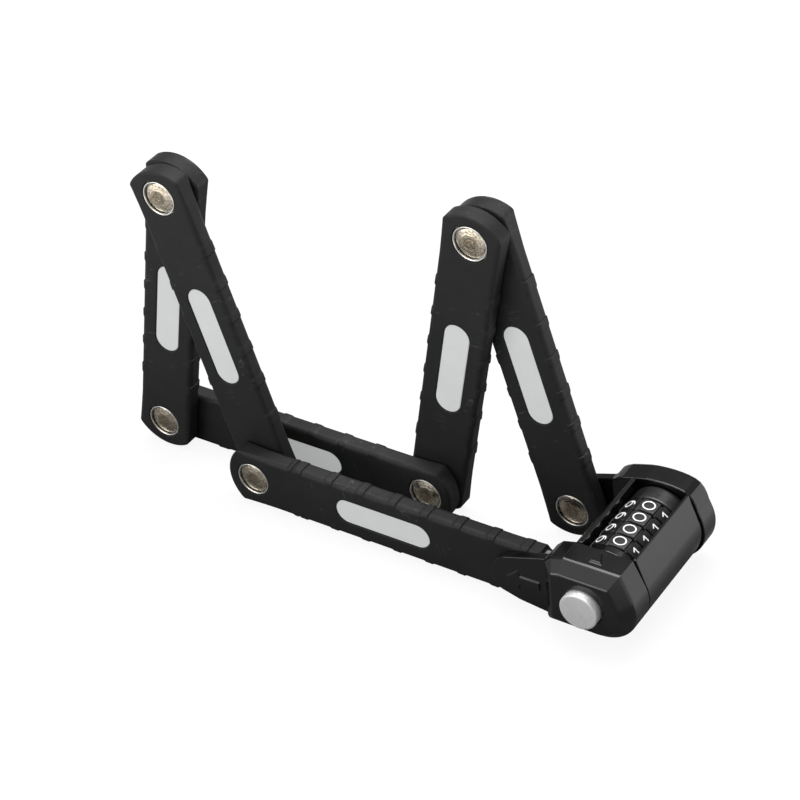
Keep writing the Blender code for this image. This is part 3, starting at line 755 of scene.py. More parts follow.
def sleeve_stations(tongue):
    """[(point, outward normal, band, groove, inset growth, drop growth)] round the sleeve."""
    corner_xs = (CORNER_X,) if tongue else (CORNER_X, PITCH - CORNER_X)
    side_end = SLEEVE_FAR if tongue else PITCH - CORNER_X
    points = soften_corners(sleeve_outline(tongue), corner_xs)
    tangents = np.roll(points, -1, 0) - np.roll(points, 1, 0)
    tangents /= np.linalg.norm(tangents, axis=1)[:, None]
    stations = []
    for point, tangent in zip(points, tangents):
        height = groove = along = 0.0
        if abs(abs(point[1]) - HALF_WIDTH) < 0.05:
            height, groove = band_at(point[0], BANDS_TONGUE if tongue else BANDS_MAIN)
            along = min(point[0] - CORNER_X, side_end - point[0])
        # the inset reaches its full size soon after the corner, the drop slowly
        quick, slow = (clamped((along - 0.3) / reach) for reach in (1.6, 17.0))
        normal = (tangent[1], -tangent[0])
        stations.append((point, normal, height, groove, ease(quick), slow))
    return stations


def rim_stage(stations, turn):
    """(outline, depths) of one ring of the softened edge."""
    angle = turn * math.pi / 2
    outline, depths = [], []
    for point, normal, height, groove, inset_growth, drop_growth in stations:
        inset = RIM_INSET + (RIM_INSET_SIDE - RIM_INSET_BAND * height) * inset_growth
        drop = RIM_DROP + (RIM_DROP_SIDE - RIM_DROP_BAND * height) * drop_growth
        relief = (BAND_HEIGHT * height - GROOVE_DEPTH * groove) * turn * turn
        out = relief - inset * (1 - math.sin(angle))
        outline.append((point[0] + normal[0] * out, point[1] + normal[1] * out))
        depths.append(drop * (1 - math.cos(angle)))
    return outline, depths


def window(grow, steps=16):
    radius = WINDOW_HALF + grow
    shift = WINDOW_LEN / 2.0 - WINDOW_HALF
    return arc(PITCH / 2 + shift, 0, radius, -90, 90, steps) \
        + arc(PITCH / 2 - shift, 0, radius, 90, 270, steps)


def sleeve_hole(part, outline_at, lip, rear=False):
    """Hole with a rounded mouth, from a face to the cavity: its first and last rings."""
    stages = []
    for k in range(5):
        angle = k / 4 * math.pi / 2
        stages.append((outline_at(lip * (1 - math.sin(angle))), lip * (1 - math.cos(angle))))
    stages.append((outline_at(0), WALL - GAP))
    if rear:
        stages = [(outline, LINK_THICK - y) for outline, y in stages]
    rings = part.sweep(stages)
    return rings[0], rings[-1]


def round_hole(x, radius, steps):
    return lambda grow: circle(x, 0, radius + grow, steps)


def sleeve_mesh(tongue):
    part = Moulding()
    stations = sleeve_stations(tongue)
    front = [rim_stage(stations, turn) for turn in RIM_TURNS]
    rear = [(outline, [LINK_THICK - y for y in depths]) for outline, depths in front[::-1]]
    side = front[-1][0]
    side_depths = (SIDE_RING_DEPTH, LINK_THICK / 2, LINK_THICK - SIDE_RING_DEPTH)
    rings = part.sweep(front + [(side, y) for y in side_depths] + rear)

    half, radius = PLATE_HALF + GAP, PLATE_END_R + GAP
    if tongue:
        cavity = [(SLEEVE_FAR - 3.0, -half), (SLEEVE_FAR - 3.0, half)]
    else:
        cavity = end_arc(half, radius, 24, far=True)
    cavity += end_arc(half, radius, 24)
    room = part.sweep([(cavity, WALL - GAP), (cavity, LINK_THICK - (WALL - GAP))])

    def recess(x):
        return round_hole(x, RECESS_R, 56)

    def shank_hole(x):
        return round_hole(x, SHANK_R + 0.5, 32)

    fronts = [sleeve_hole(part, recess(0), 0.45), sleeve_hole(part, window, 0.28)]
    rears = [sleeve_hole(part, shank_hole(0), 0.2, rear=True),
             sleeve_hole(part, window, 0.28, rear=True)]
    if not tongue:
        fronts.append(sleeve_hole(part, shank_hole(PITCH), 0.2))
        rears.append(sleeve_hole(part, recess(PITCH), 0.45, rear=True))
    part.lid([rings[0]] + [hole[0] for hole in fronts])
    part.lid([rings[-1]] + [hole[0] for hole in rears])
    part.lid([room[0]] + [hole[1] for hole in fronts])
    part.lid([room[1]] + [hole[1] for hole in rears])
    return part.mesh("tongue_sleeve" if tongue else "link_sleeve", 50.0)


def tongue_sleeve_mesh():
    """Link a's sleeve, opened where the steel tongue comes out and notched at an upper corner."""
    near, far, half = SLEEVE_FAR - 4.0, SLEEVE_FAR + 4.0, PLATE_HALF + 0.25
    body_mesh = sleeve_mesh(True)
    opening = [(near, -half), (far, -half), (far, half), (near, half)]
    notch = circle(SLEEVE_FAR + 0.9, HALF_WIDTH + 0.6, 4.0, 40, 3.0)
    cutters = []
    for name, outline, front, rear in (("tool", opening, WALL - 0.25, LINK_THICK - WALL + 0.25),
                                       ("notch", notch, -1.0, LINK_THICK + 1.0)):
        mesh = solid(name, [(outline, front), (outline, rear)], sharp=40.0)
        cutters.append(add_object(name, mesh))
    body = add_object("work", body_mesh)
    for cutter in cutters:
        modifier = body.modifiers.new("Cut", "BOOLEAN")
        modifier.operation = "DIFFERENCE"
        modifier.object = cutter
        modifier.solver = "EXACT"
    bpy.context.view_layer.update()
    evaluated = body.evaluated_get(bpy.context.evaluated_depsgraph_get())
    mesh = bpy.data.meshes.new_from_object(evaluated)
    for obj in (*cutters, body):
        bpy.data.objects.remove(obj, do_unlink=True)
    mesh.materials.clear()
    mesh.shade_smooth()
    mesh.set_sharp_from_angle(angle=math.radians(50))
    return mesh


# rim of the pad in a window: (growth from the window's outline, depth below the link's face)
INLAY_RIM = [(-0.62, 0.42), (-0.50, 0.425), (-0.42, 0.45), (-0.36, 0.50), (-0.32, 0.60),
             (-0.32, 1.05)]


def inlay_mesh(rear):
    stages = [(window(grow, 24), LINK_THICK - y if rear else y) for grow, y in INLAY_RIM]
    return solid("inlay_back" if rear else "inlay_front", stages)


# ---- rivets ------------------------------------------------------------------------------
CROWN = 0.12            # depth of the head's crown below the link's face
# pressed rings of a head: (depth, radius of the ring, width)
HEAD_RINGS = ((0.06, 4.9, 0.30), (-0.05, 3.6, 0.5), (0.07, 2.2, 0.35), (0.06, 0.0, 0.7))
HEAD_RADII = [0.0, 0.35, 0.7, 1.05, 1.4, 1.7, 2.0, 2.3, 2.6, 2.95, 3.3, 3.65, 4.0, 4.3, 4.6,
              4.9, 5.2, 5.5, 5.8, 6.05, 6.2]
BRIGHT_RING_R, BRIGHT_RING_HALF = 7.38, 0.32


def head_depth(r):
    """Depth of the head's face at radius r: a dome with pressed rings."""
    share = r / HEAD_R
    y = CROWN + 0.36 * share ** 2 + 0.52 * share ** 4
    for depth, radius, width in HEAD_RINGS:
        y += depth * math.exp(-((r - radius) / width) ** 2)
    return y


def rivet_mesh(seed, rear_crown, rear_floor):
    floor = WALL - GAP
    face = [(head_depth(r), r) for r in HEAD_RADII] + [(0.93, 6.31), (1.02, HEAD_R)]
    flatten = min(1.0, (rear_crown - rear_floor) / 1.05)
    rear = [(rear_crown - (y - CROWN) * flatten, r) for y, r in face] + [(rear_floor, HEAD_R)]
    shank = [(floor, HEAD_R), (floor, SHANK_R), (rear_floor, SHANK_R)]

    def wobble(x, z, r):
        broad = noise.noise(Vector((x * 0.55 + seed * 3.1, z * 0.55, seed * 1.7)))
        small = noise.noise(Vector((x * 1.6 + seed, z * 1.6, seed * 0.3)))
        return (0.08 * broad + 0.03 * small) * max(0.0, 1 - (r / 6.3) ** 6)

    return lathe(face + shank + rear[::-1], 72, "rivet", wobble=wobble)


def ring_mesh():
    profile = []
    for k in range(9):
        angle = math.pi * k / 8
        profile.append((0.42 - 0.34 * math.sin(angle),
                        BRIGHT_RING_R - BRIGHT_RING_HALF * math.cos(angle)))
    profile += [(1.05, BRIGHT_RING_R + BRIGHT_RING_HALF), (1.05, BRIGHT_RING_R - BRIGHT_RING_HALF)]
    return lathe(profile, 84, "rivet_ring")


def build_links():
    main_sleeve, tongue_sleeve = sleeve_mesh(False), tongue_sleeve_mesh()
    inlays = {"front": inlay_mesh(False), "rear": inlay_mesh(True)}
    ring = ring_mesh()
    for key, (first, _) in LINKS.items():
        body = "link_" + key
        matrix = link_matrix(key)
        show("sleeve_" + key, tongue_sleeve if key == "a" else main_sleeve, RUBBER, body,
             [body + "_sleeve"], matrix=matrix, weighted=True)
        for side, mesh in inlays.items():
            show("inlay_%s_%s" % (key, side), mesh, INLAY, body, ["%s_inlay_%s" % (body, side)],
                 matrix=matrix, weighted=True)
        show("ring_%d" % first, ring, RING, body, ["rivet_ring_%d" % first],
             matrix=matrix)
        if key == "f":
            # the last rivet runs right through the ear behind link f
            ear_back = EAR_REAR[1] - 5 * LAYER
            rear_crown, rear_floor = ear_back + 1.5, ear_back + GAP
        else:
            rear_face = LAYER + LINK_THICK
            rear_crown, rear_floor = rear_face - CROWN, rear_face - (WALL - GAP)
        show("rivet_head_%d" % first, rivet_mesh(first, rear_crown, rear_floor), NICKEL,
             "rivet_1" if first == 1 else body, ["rivet_%d" % first],
             matrix=matrix @ Matrix.Rotation(0.7 * first, 4, "Y"))


build_links()

# ---- steel tongue of link a --------------------------------------------------------------
TONGUE_FAR = PITCH + 42.3
TONGUE_CORNER_R, TONGUE_HOLE_R = 4.0, 4.4
# rounded edges: (inset of the outline or growth of a hole, depth below the plate's face)
TONGUE_EDGE = [(0.45, 0.0), (0.15, 0.12), (0.0, 0.45)]
TONGUE_HOLE_EDGE = [(0.3, 0.0), (0.08, 0.1), (0.0, 0.3)]


def tongue_stages(outline_at, edge):
    """Stages through the plate, with the same rounded edge at the front and the back."""
    back = WALL + PLATE_THICK
    return [(outline_at(inset), WALL + depth) for inset, depth in edge] \
        + [(outline_at(inset), back - depth) for inset, depth in edge[::-1]]


def tongue_outline(inset):
    half = PLATE_HALF - inset
    corner_x, radius = TONGUE_FAR - inset - TONGUE_CORNER_R, TONGUE_CORNER_R
    return arc(corner_x, -half + radius, radius, -90, 0, 10) \
        + arc(corner_x, half - radius, radius, 0, 90, 10) \
        + end_arc(PLATE_HALF, PLATE_END_R, 24, inset=inset)


def tongue_mesh():
    holes = []
    for x, z, radius, steps in ((0, 0, SHANK_R + 0.35, 32),
                                (PITCH + BUTTON[0], BUTTON[1], TONGUE_HOLE_R, 44)):
        holes.append(tongue_stages(lambda grow: circle(x, z, radius + grow, steps),
                                   TONGUE_HOLE_EDGE))
    return solid("tongue", tongue_stages(tongue_outline, TONGUE_EDGE), holes)


show("steel_tongue", tongue_mesh(), STEEL, "link_a", ["link_a_plate"],
     matrix=link_matrix("a"), weighted=True)

# ---- lock body ---------------------------------------------------------------------------
CELL = 0.3
CAP_LEFT, CAP_BOTTOM, CAP_TOP = 15.8, -11.5, 22.3
CAP_FRONT, CAP_REAR, CAP_CHAMFER = -11.1, 4.6, 5.0
BARREL_FRONT, BARREL_REAR = 4.9, 48.5
REAR_FRONT, REAR_BACK = 48.8, 60.0
RIGHT_C, RIGHT_R = (39.8, 4.5), 16.05       # round right flank: axis (x, z) and radius
FLANK_FROM = -math.degrees(math.asin((RIGHT_C[1] - CAP_BOTTOM) / RIGHT_R))
RIGHT_SIDE = arc(*RIGHT_C, RIGHT_R, FLANK_FROM, 25.0, 30)

# outlines, as (x, z)
CAP_OUTLINE = [(CAP_LEFT, CAP_BOTTOM + 1.2), (CAP_LEFT + 1.2, CAP_BOTTOM)] + RIGHT_SIDE \
    + [(49.3, CAP_TOP), (24.4, CAP_TOP - 0.2), (18.8, CAP_TOP - 1.8), (CAP_LEFT, 17.4)]
EAR_OUTLINE = [(21.0, 18.6)] + arc(-0.6, 0.8, 9.9, 112.0, 238.0, 26) \
    + [(2.4, -9.9), (15.0, -11.4), (21.0, -11.4)]
BARREL_OUTLINE = [(21.4, -3.0), (23.0, -7.8), (27.5, -11.2)] + RIGHT_SIDE \
    + [(50.3, 22.0), (50.0, CAP_TOP), (25.2, CAP_TOP), (22.8, 19.2), (21.4, 13.0)]
REAR_OUTLINE = [(15.3, -10.7), (17.3, -12.5)] + arc(*RIGHT_C, RIGHT_R + 1.0, -84.0, 26.0, 30) + [
    (54.1, 14.3), (53.2, 17.2), (52.0, 19.6), (50.3, 21.6), (48.0, 22.9), (45.2, 23.6),
    (42.0, 24.0), (38.5, 24.1), (34.5, 23.9), (31.0, 23.5), (28.0, 22.85), (24.0, 21.65),
    (20.2, 20.4), (17.6, 19.0), (16.0, 17.7), (15.3, 16.3)]
# raised arrow on the front ear, as (x, z), and raised triangle on the cap's top, as (x, y)
ARROW = [(-2.9, 0.9), (2.0, 5.4), (3.1, 2.9), (12.2, 3.1), (12.2, -0.9), (3.1, -1.1), (2.5, -3.6)]
MARK = [(34.5, -3.1), (39.5, -3.1), (37.0, 2.3)]

# cut-outs, as spans in x, y and z
TONGUE_SLOT = ((5.0, 43.6), (1.1, 6.85), (-16.0, 12.0))
CAP_POCKETS = (((41.0, 50.0), (-6.7, -4.5), (2.9, 6.7)),
               ((44.6, 52.9), (-6.7, CAP_REAR + 1), (2.9, 6.7)))
BARREL_GROOVE = ((36.0, 40.4), (9.0, 41.0), (-8.3, -4.0))   # below the wheels
DIAL_OPENING = (26.9, 49.0)                 # x span, open upwards
BUTTON_BORE_R, BUTTON_BORE_Y = BUTTON_R + 0.35, (CAP_FRONT - 6.0, 0.1)
STEM_BORE_R, STEM_BORE_Y = 4.4, (-6.0, 3.0)
DIAL_BORE_R, DIAL_BORE_FRONT = 14.5, BARREL_FRONT + 3.7
HUMP_R = 13.7                               # round end wall left standing in the opening
DOWELS, DOWEL_HOLE_R = ((49.3, -4.7), (26.4, -5.4)), 1.7


def ear_field(x, y, z, span):
    return rounded(polygon(x, z, EAR_OUTLINE), slab(y, *span), 0.55)


def front_cap(x, y, z):
    outline = polygon(x, z, CAP_OUTLINE)
    body = rounded(outline, slab(y, CAP_FRONT, CAP_REAR), 0.3)
    chamfer = (outline + CAP_CHAMFER - (y - CAP_FRONT)) / math.sqrt(2.0)
    body = overlap(body, chamfer, 0.8)
    body = join(body, ear_field(x, y, z, EAR_FRONT), 0.9)
    arrow_slab = slab(y, EAR_FRONT[0] - 0.7, EAR_FRONT[0] + 1.2)
    body = join(body, rounded(polygon(x, z, ARROW), arrow_slab, 0.42), 0.5)
    mark_slab = slab(z, CAP_TOP - 1.2, CAP_TOP + 0.6)
    body = join(body, rounded(polygon(x, y, MARK), mark_slab, 0.38), 0.45)
    body = carve(body, rod(x, y, z, BUTTON, BUTTON_BORE_R, BUTTON_BORE_Y), 0.4)
    body = carve(body, rod(x, y, z, BUTTON, STEM_BORE_R, STEM_BORE_Y))
    body = carve(body, block(x, y, z, TONGUE_SLOT), 0.5)
    for pocket in CAP_POCKETS:
        body = carve(body, block(x, y, z, pocket))
    return carve(body, rod(x, y, z, DOWELS[0], DOWEL_HOLE_R, (-4.0, CAP_REAR + 1)))


def barrel(x, y, z):
    body = rounded(polygon(x, z, BARREL_OUTLINE), slab(y, BARREL_FRONT, BARREL_REAR), 0.3)
    body = carve(body, rod(x, y, z, DIAL, DIAL_BORE_R, (DIAL_BORE_FRONT, BARREL_REAR + 3)))
    opening = np.maximum(slab(x, *DIAL_OPENING), DIAL[1] + 2.0 - z)
    opening = np.maximum(opening, slab(y, BARREL_FRONT - 3.0, BARREL_REAR + 3.0))
    hump = rod(x, y, z, DIAL, HUMP_R, (BARREL_FRONT - 4.0, DIAL_BORE_FRONT))
    body = carve(body, carve(opening, hump, 0.4), 0.28)
    body = carve(body, block(x, y, z, TONGUE_SLOT), 0.3)
    body = carve(body, block(x, y, z, BARREL_GROOVE))
    for dowel, span in ((DOWELS[0], (BARREL_FRONT - 2, 11.4)),
                        (DOWELS[0], (40.1, BARREL_REAR + 2)),
                        (DOWELS[1], (40.1, BARREL_REAR + 2))):
        body = carve(body, rod(x, y, z, dowel, DOWEL_HOLE_R, span))
    return body


def rear_cap(x, y, z):
    outline = polygon(x, z, REAR_OUTLINE)
    body = np.maximum(rounded(outline, y - REAR_BACK, 2.5), rounded(outline, REAR_FRONT - y, 0.5))
    body = join(body, ear_field(x, y, z, EAR_REAR), 0.9)
    # stepped bore on the wheels' axis: wide and shallow, then narrow and deep
    body = carve(body, np.maximum(cylinder(x, z, DIAL, 9.4), y - 51.4))
    body = carve(body, rod(x, y, z, DIAL, 6.3, (40.0, 55.6)))
    body = carve(body, cylinder(x, z, (0.0, 0.0), SHANK_R + 0.3), 0.3)
    for dowel in DOWELS:
        body = carve(body, rod(x, y, z, dowel, DOWEL_HOLE_R, (40.0, 55.4)))
    return body


# (name, field, low and high corner of its grid, cell, frame piece)
BODY_PARTS = (
    ("cap_front", front_cap, (-12.0, -12.2, -12.7), (57.2, 5.7, 23.8), CELL, "front_cap"),
    ("barrel_shell", barrel, (20.3, 3.9, -12.5), (57.0, 49.6, 23.5), CELL * 1.1, "barrel_housing"),
    ("cap_rear", rear_cap, (-12.0, 47.8, -13.6), (58.2, 61.2, 25.4), CELL, "rear_cap"),
)
for name, field, low, high, cell, piece in BODY_PARTS:
    show(name, skin(field, low, high, cell, name), PAINT, "lock_body", [piece])

# ---- push button and its spring ----------------------------------------------------------
BUTTON_FRONT = -14.5
FACE_RADII = (1.5, 3.0, 4.5, 6.0, 7.0, 7.45)    # stations on the slightly domed face
# (y, r) from the rounded front edge: fine groove, waist, rear flange, stem with rounded tip
BUTTON_SIDE = [
    (-13.2, BUTTON_R), (-12.95, 8.22), (-12.9, 8.12), (-12.78, 8.12), (-12.73, 8.22),
    (-12.5, BUTTON_R), (-10.2, BUTTON_R), (-10.2, 7.4), (-4.6, 7.4), (-4.6, BUTTON_R),
    (-3.6, BUTTON_R), (-3.6, 6.4), (-9.0, 6.4), (-9.0, 4.0), (0.2, 4.0), (0.6, 3.75),
    (0.8, 3.4), (0.8, 0.0)]
BUTTON_PLACE = Matrix.Translation(world((BUTTON[0], 0.0, BUTTON[1])))
COIL_FRONT, COIL_REAR = -8.65, -0.25
COIL_R, WIRE_R, COIL_TURNS = 5.25, 0.45, 4.5
WIRE_SIDES, STEPS_PER_TURN = 12, 44
CLOSED_TURN = 0.75                              # turns that lie flat at either end


def button_mesh():
    profile = [(BUTTON_FRONT, 0.0)]
    profile += [(BUTTON_FRONT + 0.012 * (r / 7.4) ** 2, r) for r in FACE_RADII]
    for k in range(1, 7):
        angle = k / 6 * math.pi / 2
        profile.append((-14.47 + 0.62 * (1 - math.cos(angle)), 7.55 + 0.7 * math.sin(angle)))
    return lathe(profile + BUTTON_SIDE, 96, "button", sharp=45)


def coil_mesh():
    """Round-wire spring about Y with its end turns closed up."""
    steps = int(COIL_TURNS * STEPS_PER_TURN)
    first, last = COIL_FRONT + WIRE_R, COIL_REAR - WIRE_R
    verts, faces = [], []
    for i in range(steps + 1):
        share = i / steps
        turns = share * COIL_TURNS
        climb = clamped((turns - CLOSED_TURN) / (COIL_TURNS - 2 * CLOSED_TURN))
        flat_turns = min(turns, CLOSED_TURN) + max(0.0, turns - COIL_TURNS + CLOSED_TURN)
        y = first + 2.2 * WIRE_R * flat_turns + (last - first - 3.3 * WIRE_R) * climb
        angle = 2 * math.pi * COIL_TURNS * share
        out, along = Vector((math.cos(angle), 0, math.sin(angle))), Vector((0, 1, 0))
        for k in range(WIRE_SIDES):
            side = 2 * math.pi * k / WIRE_SIDES
            point = out * (COIL_R + WIRE_R * math.cos(side)) + along * (y + WIRE_R * math.sin(side))
            verts.append(point * MM)
        if i:
            a, b = (i - 1) * WIRE_SIDES, i * WIRE_SIDES
            for k in range(WIRE_SIDES):
                j = (k + 1) % WIRE_SIDES
                faces.append((a + k, a + j, b + j, b + k))
    last_ring = steps * WIRE_SIDES
    faces.append(tuple(range(WIRE_SIDES)))
    faces.append(tuple(range(last_ring + WIRE_SIDES - 1, last_ring - 1, -1)))
    mesh = mesh_from(verts, faces, "return_coil")
    bm = bmesh.new()
    bm.from_mesh(mesh)
    bmesh.ops.recalc_face_normals(bm, faces=bm.faces)
    bm.to_mesh(mesh)
    bm.free()
    mesh.shade_smooth()
    mesh.set_sharp_from_angle(angle=math.radians(60))
    return mesh


show("button_head", button_mesh(), SATIN, "button", ["push_button"],
     matrix=BUTTON_PLACE)
coil = show("return_coil", coil_mesh(), SPRING, "button", ["return_spring"],
            matrix=BUTTON_PLACE)
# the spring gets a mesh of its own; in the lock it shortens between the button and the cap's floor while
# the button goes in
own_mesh(coil)

# ---- number wheels -----------------------------------------------------------------------
WHEEL_HALF = 3.6                        # half the wheel's width along Y
FACET_R, FACET_HALF, FACET_CROWN = 13.72, 3.62, 0.16
# valley between two facets: (angle from its middle in degrees, radius)
VALLEY = ((-1.7, 13.12), (-0.6, 12.95), (0.6, 12.95), (1.7, 13.12))
WHEEL_EDGE = [(0.955, 0.0), (0.966, 0.05), (0.988, 0.28), (0.997, 0.42), (1.0, 0.62)]  # scale, depth
WHEEL_BORE_R = 9.8
WHEEL_TURN = math.radians(3.5)
STROKE = 0.305                          # half the width of a digit's line

# Digit strokes in millimetres: (across the wheel's width, up the digit).
DIGITS = {
    "0": [ellipse(0, 0, 2.25, 2.45, 0, 360, 40)],
    "1": [[(-1.15, 1.45), (0.25, 2.5), (0.25, -2.5)]],
    "2": [ellipse(0, 0.95, 1.75, 1.55, 170, -28, 16) + [(-1.8, -2.45), (1.9, -2.45)]],
    "3": [ellipse(-0.05, 1.2, 1.6, 1.25, 150, -90, 16),
          ellipse(-0.05, -1.15, 1.85, 1.3, 90, -150, 16)],
    "4": [[(1.0, -2.5), (1.0, 2.5), (-1.95, -1.1), (2.1, -1.1)]],
    "5": [[(1.6, 2.45), (-1.3, 2.45), (-1.55, 0.25)]
          + ellipse(-0.05, -0.85, 1.85, 1.6, 140, -150, 18)],
    "6": [ellipse(0.0, -0.85, 1.8, 1.6, 0, 360, 28), ellipse(1.2, -0.85, 3.0, 3.35, 180, 96, 12)],
    "7": [[(-1.75, 2.45), (1.85, 2.45), (-0.6, -2.5)]],
    "8": [ellipse(0, 1.2, 1.55, 1.25, 0, 360, 26), ellipse(0, -1.2, 1.85, 1.3, 0, 360, 28)],
    "9": [ellipse(0.0, 0.85, 1.8, 1.6, 0, 360, 28), ellipse(-1.2, 0.85, 3.0, 3.35, 0, -84, 12)],
}


def wheel_outline():
    points = []
    for i in range(10):
        angle = math.radians(90.0 + 36.0 * i)
        cos, sin = math.cos(angle), math.sin(angle)
        for across in np.linspace(-FACET_HALF, FACET_HALF, 9):
            height = FACET_R - FACET_CROWN * (across / FACET_HALF) ** 2
            if abs(across) > 3.6:
                height -= 0.12          # softened corner
            points.append((height * cos - across * sin, height * sin + across * cos))
        for offset, radius in VALLEY:
            turn = angle + math.radians(18.0) + math.radians(offset)
            points.append((radius * math.cos(turn), radius * math.sin(turn)))
    return points


def wheel_mesh():
    outline = wheel_outline()
    front = [([(x * scale, z * scale) for x, z in outline], -WHEEL_HALF + depth)
             for scale, depth in WHEEL_EDGE]
    rear = [(ring, -y) for ring, y in front[::-1]]
    bore = circle(0, 0, WHEEL_BORE_R, 60)
    holes = [[(bore, -WHEEL_HALF), (bore, WHEEL_HALF)]]
    return solid("number_wheel", front + rear, holes, sharp=28)


def digit_mesh(text):
    """The digit standing a little out of its facet, in (across, outward, up) axes."""
    def field(x, y, z):
        line = strokes(x, z, DIGITS[text]) - STROKE
        return rounded(line, slab(y + FACET_CROWN * (z / FACET_HALF) ** 2, -0.3, 0.05), 0.04)

    return skin(field, (-2.9, -0.62, -3.2), (2.9, 0.2, 3.2), 0.11,
                "digit_" + text, place=lambda p: (p[0] * MM, p[1] * MM, p[2] * MM))


def digits_mesh():
    """All ten digits of one wheel in one mesh, about the wheel's own axis."""
    verts, faces = [], []
    for i, text in enumerate("0123456789"):
        angle = math.radians(90.0 - 36.0 * i)
        outward = Vector((math.cos(angle), 0, math.sin(angle)))
        up = Vector((-math.sin(angle), 0, math.cos(angle)))
        turn = Matrix((Vector((0, 1, 0)), outward, up)).transposed()
        digit = digit_mesh(text)
        first = len(verts)
        verts += [turn @ v.co + outward * (FACET_R * MM) for v in digit.vertices]
        faces += [[first + k for k in face.vertices] for face in digit.polygons]
    mesh = mesh_from(verts, faces, "wheel_digits")
    mesh.set_sharp_from_angle(angle=math.radians(40))
    return mesh


def build_wheels():
    digits, wheel = digits_mesh(), wheel_mesh()
    for i in range(1, 5):
        name, piece = "wheel_%d" % i, "number_wheel_%d" % i
        # the outline's own box is not centred on the axis, so the axis is the code sleeve's
        axis = middle("code_sleeve_%d" % i)
        place = Matrix.Translation((axis.x, middle(piece).y, axis.z))
        matrix = place @ Matrix.Rotation(WHEEL_TURN, 4, "Y")
        show(name, wheel, PLASTIC, name, [piece], matrix=matrix, weighted=True)
        show(name + "_digits", digits, WHITE, name, matrix=matrix)


def drum_mesh():
    """Plain drum behind the wheels."""
    profile = [(40.5, 6.35), (40.5, 13.35), (40.6, 13.55), (40.85, 13.7)]
    profile += [(y, 13.7) for y in np.linspace(41.6, 47.0, 10)]
    profile += [(47.85, 13.7), (48.1, 13.55), (48.2, 13.35), (48.2, 6.35)]
    return lathe(profile, 120, "blank_drum")


build_wheels()
show("blank_drum", drum_mesh(), PLASTIC, "lock_body", ["spacer_drum"],
     matrix=Matrix.Translation(world((DIAL[0], 0, DIAL[1]))))

# ---- frame pieces that stay --------------------------------------------------------------
KEPT = {"front_dowel": STEEL, "rear_dowel_1": STEEL, "rear_dowel_2": STEEL, "spindle": SPRING,
        "detent_strip": SPRING, "button_catch": STEEL}
KEPT.update(("link_%s_plate" % key, STEEL) for key in "bcdef")
KEPT.update(("code_sleeve_%d" % i, BRASS) for i in range(1, 5))
for name, material in KEPT.items():
    obj = frame["nodes"][name]
    if not obj.material_slots:
        obj.data.materials.append(material)
    for material_slot in obj.material_slots:
        material_slot.material = material

# ---- stage, light and camera -------------------------------------------------------------
MID = (CAD_LO + CAD_HI) / 2
FLOOR_HALF, FLOOR_DROP = 14.0, 0.0006       # metres; the drop is below the lowest piece


def floor_material():
    """Nearly white to the camera; to the object, grey close by and glowing further out."""
    nodes = new_material("floor_pale")
    seen = nodes.node("ShaderNodeLightPath").outputs["Is Camera Ray"]
    base = nodes.mix(seen, under=grey(0.16), over=grey(0.09))
    x, y, _ = nodes.split()
    half = (CAD_HI - CAD_LO) / 2
    away = []
    for value, centre, reach in ((x, MID.x, half.x), (y, MID.y, half.y)):
        off = nodes.calc("ABSOLUTE", nodes.calc("SUBTRACT", value, centre))
        away.append(nodes.calc("MAXIMUM", nodes.calc("SUBTRACT", off, reach), 0.0))
    glow = nodes.ramp(nodes.times(nodes.length(*away), 1.25), {0.03: 0.0, 0.20: 0.20, 0.60: 1.0})
    # the glow starts closer to the right of the object, but not in front of it
    right = nodes.times(nodes.calc("SUBTRACT", x, CAD_HI.x), 4.0)
    behind = nodes.times(nodes.calc("SUBTRACT", y, CAD_LO.y), 10.0)
    beside = nodes.times(nodes.ramp(right, {0.04: 0.0, 0.30: 1.0}),
                         nodes.ramp(behind, {0.02: 0.0, 0.32: 1.0}))
    glow = nodes.calc("MAXIMUM", glow, beside)
    unseen = nodes.times(nodes.calc("SUBTRACT", 1.0, seen), nodes.times(glow, 1.15))
    strength = nodes.calc("ADD", nodes.times(seen, 0.90), unseen)
    return nodes.surface(Base_Color=base, Roughness=0.9, Specular_IOR_Level=0.1,
                         Emission_Color=grey(1), Emission_Strength=strength)


def build_floor():
    mesh = bpy.data.meshes.new("floor")
    z = CAD_LO.z - FLOOR_DROP
    corners = [(x * FLOOR_HALF, y * FLOOR_HALF, z) for x, y in ((-1, -1), (1, -1), (1, 1), (-1, 1))]
    mesh.from_pydata(corners, [], [(0, 1, 2, 3)])
    floor = add_object("floor", mesh)
    mesh.materials.append(floor_material())


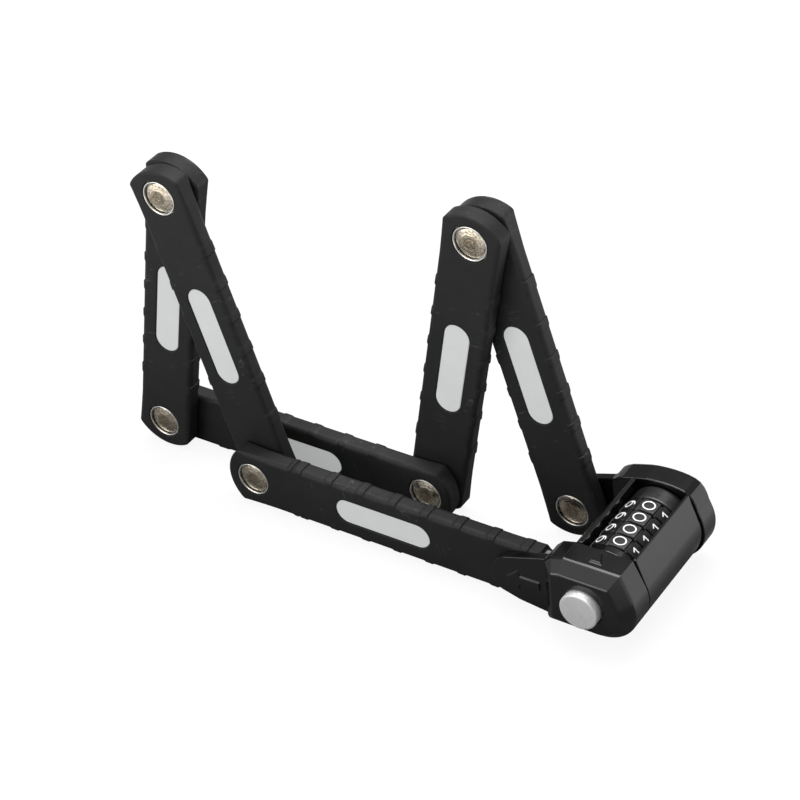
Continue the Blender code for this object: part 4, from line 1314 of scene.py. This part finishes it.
def build_world():
    """White to the camera; to the object, dim below and brighter overhead."""
    studio = bpy.data.worlds.new("studio")
    bpy.context.scene.world = studio
    studio.use_nodes = True
    studio.node_tree.nodes.clear()
    nodes = Nodes(studio)
    height = nodes.split("Generated")[2]
    sky = nodes.ramp(height, {0.0: 0.12, 0.35: (0.17, 0.17, 0.172), 1.0: 0.6})
    glow = nodes.node("ShaderNodeBackground", {"Color": sky, "Strength": 0.95})
    seen = nodes.node("ShaderNodeBackground", {"Color": grey(1), "Strength": 0.97})
    camera_ray = nodes.node("ShaderNodeLightPath").outputs["Is Camera Ray"]
    mixed = nodes.node("ShaderNodeMixShader",
                       {0: camera_ray, 1: glow.outputs[0], 2: seen.outputs[0]})
    nodes.node("ShaderNodeOutputWorld", {"Surface": mixed.outputs[0]})


def area_light(name, offset, height, power, size, size_y=None):
    """Area light aimed at the object; offset is (x, y) from its middle, in metres."""
    data = bpy.data.lights.new(name, "AREA")
    data.energy = power
    data.size = size
    if size_y:
        data.shape = "RECTANGLE"
        data.size_y = size_y
    light = add_object(name, data)
    place = Vector((MID.x + offset[0], MID.y + offset[1], height))
    light.location = place
    light.rotation_euler = (MID - place).to_track_quat("-Z", "Y").to_euler()


def build_camera():
    data = bpy.data.cameras.new("camera")
    data.lens = 109.122
    data.sensor_width = 36.0
    data.clip_start = 0.05
    data.clip_end = 60.0
    camera = add_object("camera", data)
    right = (0.837265, 0.539538, -0.088796)
    up = (-0.267423, 0.545694, 0.794168)
    back = (0.47694, -0.641184, 0.601175)
    matrix = Matrix((right, up, back)).transposed().to_4x4()
    matrix.translation = world((398.797, -601.769, 633.573))
    camera.matrix_world = matrix
    bpy.context.scene.camera = camera


build_floor()
build_world()
area_light("overhead", offset=(-0.10, 0.35), height=1.35, power=24.0, size=1.3, size_y=1.0)
area_light("low_card", offset=(-0.80, -1.40), height=0.36, power=6.0, size=1.0, size_y=0.55)
area_light("fill", offset=(-0.30, -0.85), height=1.00, power=9.5, size=1.8)
area_light("back_card", offset=(1.50, 1.35), height=0.38, power=7.0, size=1.8, size_y=0.8)
build_camera()
bpy.context.scene.view_settings.view_transform = "Standard"
